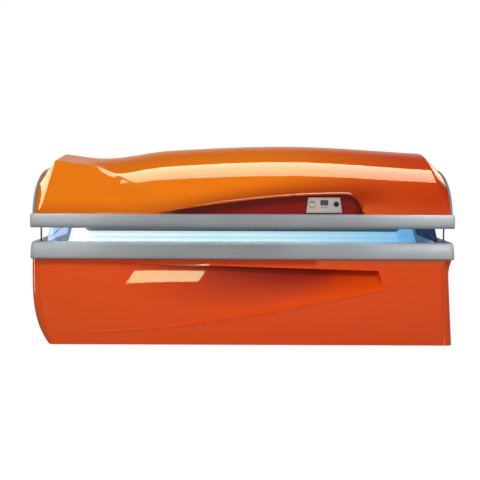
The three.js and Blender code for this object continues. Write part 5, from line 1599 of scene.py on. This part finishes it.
screws = []
for x in (panel_low.x + 0.019, panel_high.x - 0.019):
    for z in (panel_low.z + 0.012, panel_high.z - 0.012):
        lean = math.copysign(0.007, panel_low.x + panel_high.x - 2 * x) if z > KNOB.z else 0
        screws.append(screw_form((x + lean, FACE_Y, z), (0, -1, 0), 0.0028))
finished("panel_screws", merged(*screws), zinc_sheet, "canopy", slot="zinc_steel")
print("display, keys and", len(screws), "screws placed")

# %% [markdown]
# ## Air vent
# Behind the crown, where a guest doesn't see it, a louvred vent lets the lamps' heat out. Its frame, its
# slats and the dark plate below all follow the shell, so each is a small sheet laid at its own height
# over the same arch.

# %% Vent
VENT_LOW, VENT_HIGH = map(Vector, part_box("exhaust_vent"))
VENT_EDGE = 0.014
PLATE_INSET = 0.004


def over_shell(x, y, lift):
    """A point this far above the shell's skin, square to its arch."""
    crown = crown_height(x)
    z = crown * math.sqrt(1 - (y / SHELL_REACH) ** 2)
    out = Vector((0, y / SHELL_REACH ** 2, z / crown ** 2)).normalized()
    return Vector((x, y, SHELL_FOOT + z)) + out * lift


vent_x = [VENT_LOW.x, VENT_LOW.x + VENT_EDGE, VENT_HIGH.x - VENT_EDGE, VENT_HIGH.x]
vent_y = [VENT_LOW.y, VENT_LOW.y + VENT_EDGE, VENT_HIGH.y - VENT_EDGE - 0.002, VENT_HIGH.y - 0.002]
across = [vent_x[0], *spaced(vent_x[1], vent_x[2], 6), vent_x[3]]
back = [vent_y[0], *spaced(vent_y[1], vent_y[2], 12), vent_y[3]]
form = sheet_form(len(across) - 1, len(back) - 1, lambda i, k: over_shell(across[i], back[k], 0.0075))
cut_window(form, (vent_x[1], vent_y[1]), (vent_x[2], vent_y[2]))
finished("vent_frame", form, grey_trim, "canopy", "exhaust_vent", slot="grey_trim", recalc=False, wall=0.008)
plate_x = spaced(vent_x[0] + PLATE_INSET, vent_x[3] - PLATE_INSET, 6)
plate_y = spaced(vent_y[0] + PLATE_INSET, vent_y[3] - PLATE_INSET, 12)
form = sheet_form(6, 12, lambda i, k: over_shell(plate_x[i], plate_y[k], 0.0015))
finished("vent_plate", form, black_plastic, "canopy", slot="black_plastic", recalc=False, wall=0.002)
slats = []
starts = spaced(vent_y[1], vent_y[2], 10)
for near, far in zip(starts, starts[1:]):
    slats.append(sheet_form(6, 3, lambda i, k: over_shell(
        mix(vent_x[1], vent_x[2], i / 6), mix(near, far + 0.003, k / 3), mix(0.0068, 0.0032, k / 3),
    )))
finished("vent_slats", merged(*slats), grey_trim, "canopy", slot="grey_trim", recalc=False, wall=0.0015)
print("vent slats:", len(slats))

# %% [markdown]
# ## Gas springs
# Two gas springs lift the canopy: a black tube that turns on the base and a chrome rod that slides out
# of it. Both are turned about the line between the two pivots, and each ends in an eye turned about
# the bed's length. The tube has a real bore, so the rod can slide.

# %% Gas springs
SPRING_X = 1.062
SPRING_FOOT = Vector((0, 0.360, 0.348))
SPRING_HEAD = Vector((0, *STUD))
along = (SPRING_HEAD - SPRING_FOOT).normalized()
length = (SPRING_HEAD - SPRING_FOOT).length


def eye_form(centre, outer, inner):
    half = 0.008
    ring = [(inner, -half), (outer - 0.001, -half), (outer, -half + 0.001), (outer, half - 0.001),
            (outer - 0.001, half), (inner, half), (inner, -half)]
    return turned_form(ring, centre, (1, 0, 0))


for name, side in SIDES:
    beside = Vector((side * SPRING_X, 0, 0))
    tube = [(0.0, 0.0095), (0.006, 0.0095), (0.006, 0.020), (0.0092, 0.0225), (0.011, 0.026), (0.011, 0.284),
            (0.0104, 0.2850), (0.0104, 0.2870), (0.011, 0.2880), (0.011, 0.2935), (0.0094, 0.2964),
            (0.0057, 0.2964), (0.0057, 0.052), (0.0, 0.052)]
    foot, head = beside + SPRING_FOOT, beside + SPRING_HEAD
    form = merged(turned_form(tube, foot, along), eye_form(foot, 0.012, 0.0055))
    finished(
        f"{name}_spring_tube", form, black_plastic, f"gas_cylinder_{name}", f"gas_spring_cylinder_{name}",
        slot="black_plastic",
    )
    rod = [(0.0, 0.060), (0.0044, 0.060), (0.005, 0.0606), (0.005, length - 0.016), (0.0072, length - 0.0155),
           (0.0072, length - 0.0105), (0.0, length - 0.0098)]
    form = merged(turned_form(rod, foot, along), eye_form(head, 0.011, 0.005))
    finished(
        f"{name}_spring_rod", form, polished_chrome, f"gas_rod_{name}", f"gas_spring_rod_{name}",
        slot="chrome",
    )
print("gas springs", round(length, 4), "between pivots")

# %% [markdown]
# ## Back of the bed
# The back is a flat lacquered sheet shaped like a broad T, screwed round its edge. Two fields of pressed
# louvres let the fan's air out. Cutting real slits would need many Booleans, so each louvre is a small
# wedge pushed along the bed over a dark slot.

# %% Rear panel
BACK_IN, BACK_OUT = (corner[1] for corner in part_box("base_rear_panel"))
BACK_HALF, BACK_HALF_LOW = BASE_RAIL_HALF, 0.9247
BACK_SHOULDER, BACK_TOP = 0.470, 0.5737

outline = [
    (-BACK_HALF_LOW, FLOOR_GAP), (BACK_HALF_LOW, FLOOR_GAP), (BACK_HALF_LOW, BACK_SHOULDER),
    (BACK_HALF, BACK_SHOULDER), (BACK_HALF, BACK_TOP), (-BACK_HALF, BACK_TOP),
    (-BACK_HALF, BACK_SHOULDER), (-BACK_HALF_LOW, BACK_SHOULDER),
]
form = extruded_form([(x, BACK_IN, z) for x, z in outline], (0, BACK_OUT - BACK_IN, 0))
finished(
    "rear_panel_sheet", soften(form, 0.0012), base_lacquer, "base", "base_rear_panel", slot="orange_gelcoat",
)

LOUVRE_HALF, SLOT_HALF = 0.20, 0.194
louvres, slots = [], []
for middle in (-0.42, 0.42):
    for z in spaced(0.130, 0.340, 10):
        wedge = [(-0.001, z), (0.006, z), (0.0055, z + 0.003), (-0.001, z + 0.013)]
        ring = [(middle - LOUVRE_HALF, BACK_OUT + out, up) for out, up in wedge]
        louvres.append(soften(extruded_form(ring, (2 * LOUVRE_HALF, 0, 0)), 0.0012))
        low = (middle - SLOT_HALF, BACK_OUT - 0.0005, z - 0.0042)
        slots.append(block_form(low, (middle + SLOT_HALF, BACK_OUT + 0.0008, z + 0.001), 0.0003))
finished("rear_louvres", merged(*louvres), base_lacquer, "base", slot="orange_gelcoat")
finished("rear_louvre_slots", merged(*slots), black_plastic, "base", slot="black_plastic")

SCREW_INSET = 0.03
screw_places = [(x, BACK_TOP - 0.020) for x in spaced(SCREW_INSET - BACK_HALF, BACK_HALF - SCREW_INSET, 8)]
low_span = spaced(SCREW_INSET - BACK_HALF_LOW, BACK_HALF_LOW - SCREW_INSET, 6)
screw_places += [(x, FLOOR_GAP + 0.022) for x in low_span]
screw_places += [(x, z) for x in (low_span[0], low_span[-1]) for z in (0.160, 0.300, 0.440)]
screws = [screw_form((x, BACK_OUT, z), (0, 1, 0), 0.006) for x, z in screw_places]
finished("rear_screws", merged(*screws), zinc_sheet, "base", slot="zinc_steel")
print("louvres:", len(louvres), "screws:", len(screws))

# %% [markdown]
# A cable gland sits low on the back, near the bed's left end, closed by a plug. Spun in six steps, a
# profile gives the hexagonal nut. Spun in many, it gives the domed plug.

# %% Cable gland
GLAND = Vector((-0.760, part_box("mains_gland")[0][1], 0.130))
nut = turned_form([(0, 0), (0.0148, 0), (0.0148, 0.006), (0, 0.006)], GLAND, (0, 1, 0), 6)
plug = [
    (0, 0.005), (0.0122, 0.005), (0.0124, 0.0095), (0.0112, 0.0122), (0.0088, 0.0138), (0.0070, 0.0138),
    (0.0064, 0.0120), (0, 0.0116),
]
form = merged(soften(nut, 0.0008), turned_form(plug, GLAND, (0, 1, 0)))
finished("gland_with_plug", form, black_plastic, "base", "mains_gland", slot="black_plastic")
print("gland at", [round(v, 3) for v in GLAND])

# %% [markdown]
# ## Solids that stay
# The frame, pan, feet, fan and hinges already have their real shape. They keep it and get a finish, and the
# end frames' pale blue-grey is painted lamplight.

# %% Finishes for the solids that stay
STAY = [
    # The end frames show through the mouth in painted lamplight.
    (pale_coat_painted_lamplight, ("base_left_end_frame", "base_right_end_frame")),
    (grey_trim, ("base_rear_deck",)),
    (powder_coat, ("base_rear_beam", "canopy_rear_beam",
                   "hinge_bracket_left", "hinge_bracket_right", "hinge_arm_left", "hinge_arm_right")),
    (zinc_sheet, ("base_pan", "ballast_rack", "hinge_pin_left", "hinge_pin_right")),
    (black_plastic, ("fan_housing", "fan_impeller")),
    (black_rubber, ("foot_front_left", "foot_front_right", "foot_rear_left", "foot_rear_right")),
]
for finish, names in STAY:
    for name in names:
        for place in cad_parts[name].material_slots:
            place.material = finish
print("solids dressed:", sum(len(names) for _, names in STAY))

# %% [markdown]
# ## Size
# The dressed bed has to fill the box that the solids filled, so both boxes are gathered side by side, and the
# dressed one is printed.

# %% Finish
low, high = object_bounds()
{"cad": [list(cad_low), list(cad_high)], "visual": [list(low), list(high)]}
print("size:", [round(v, 3) for v in (*low, *high)])
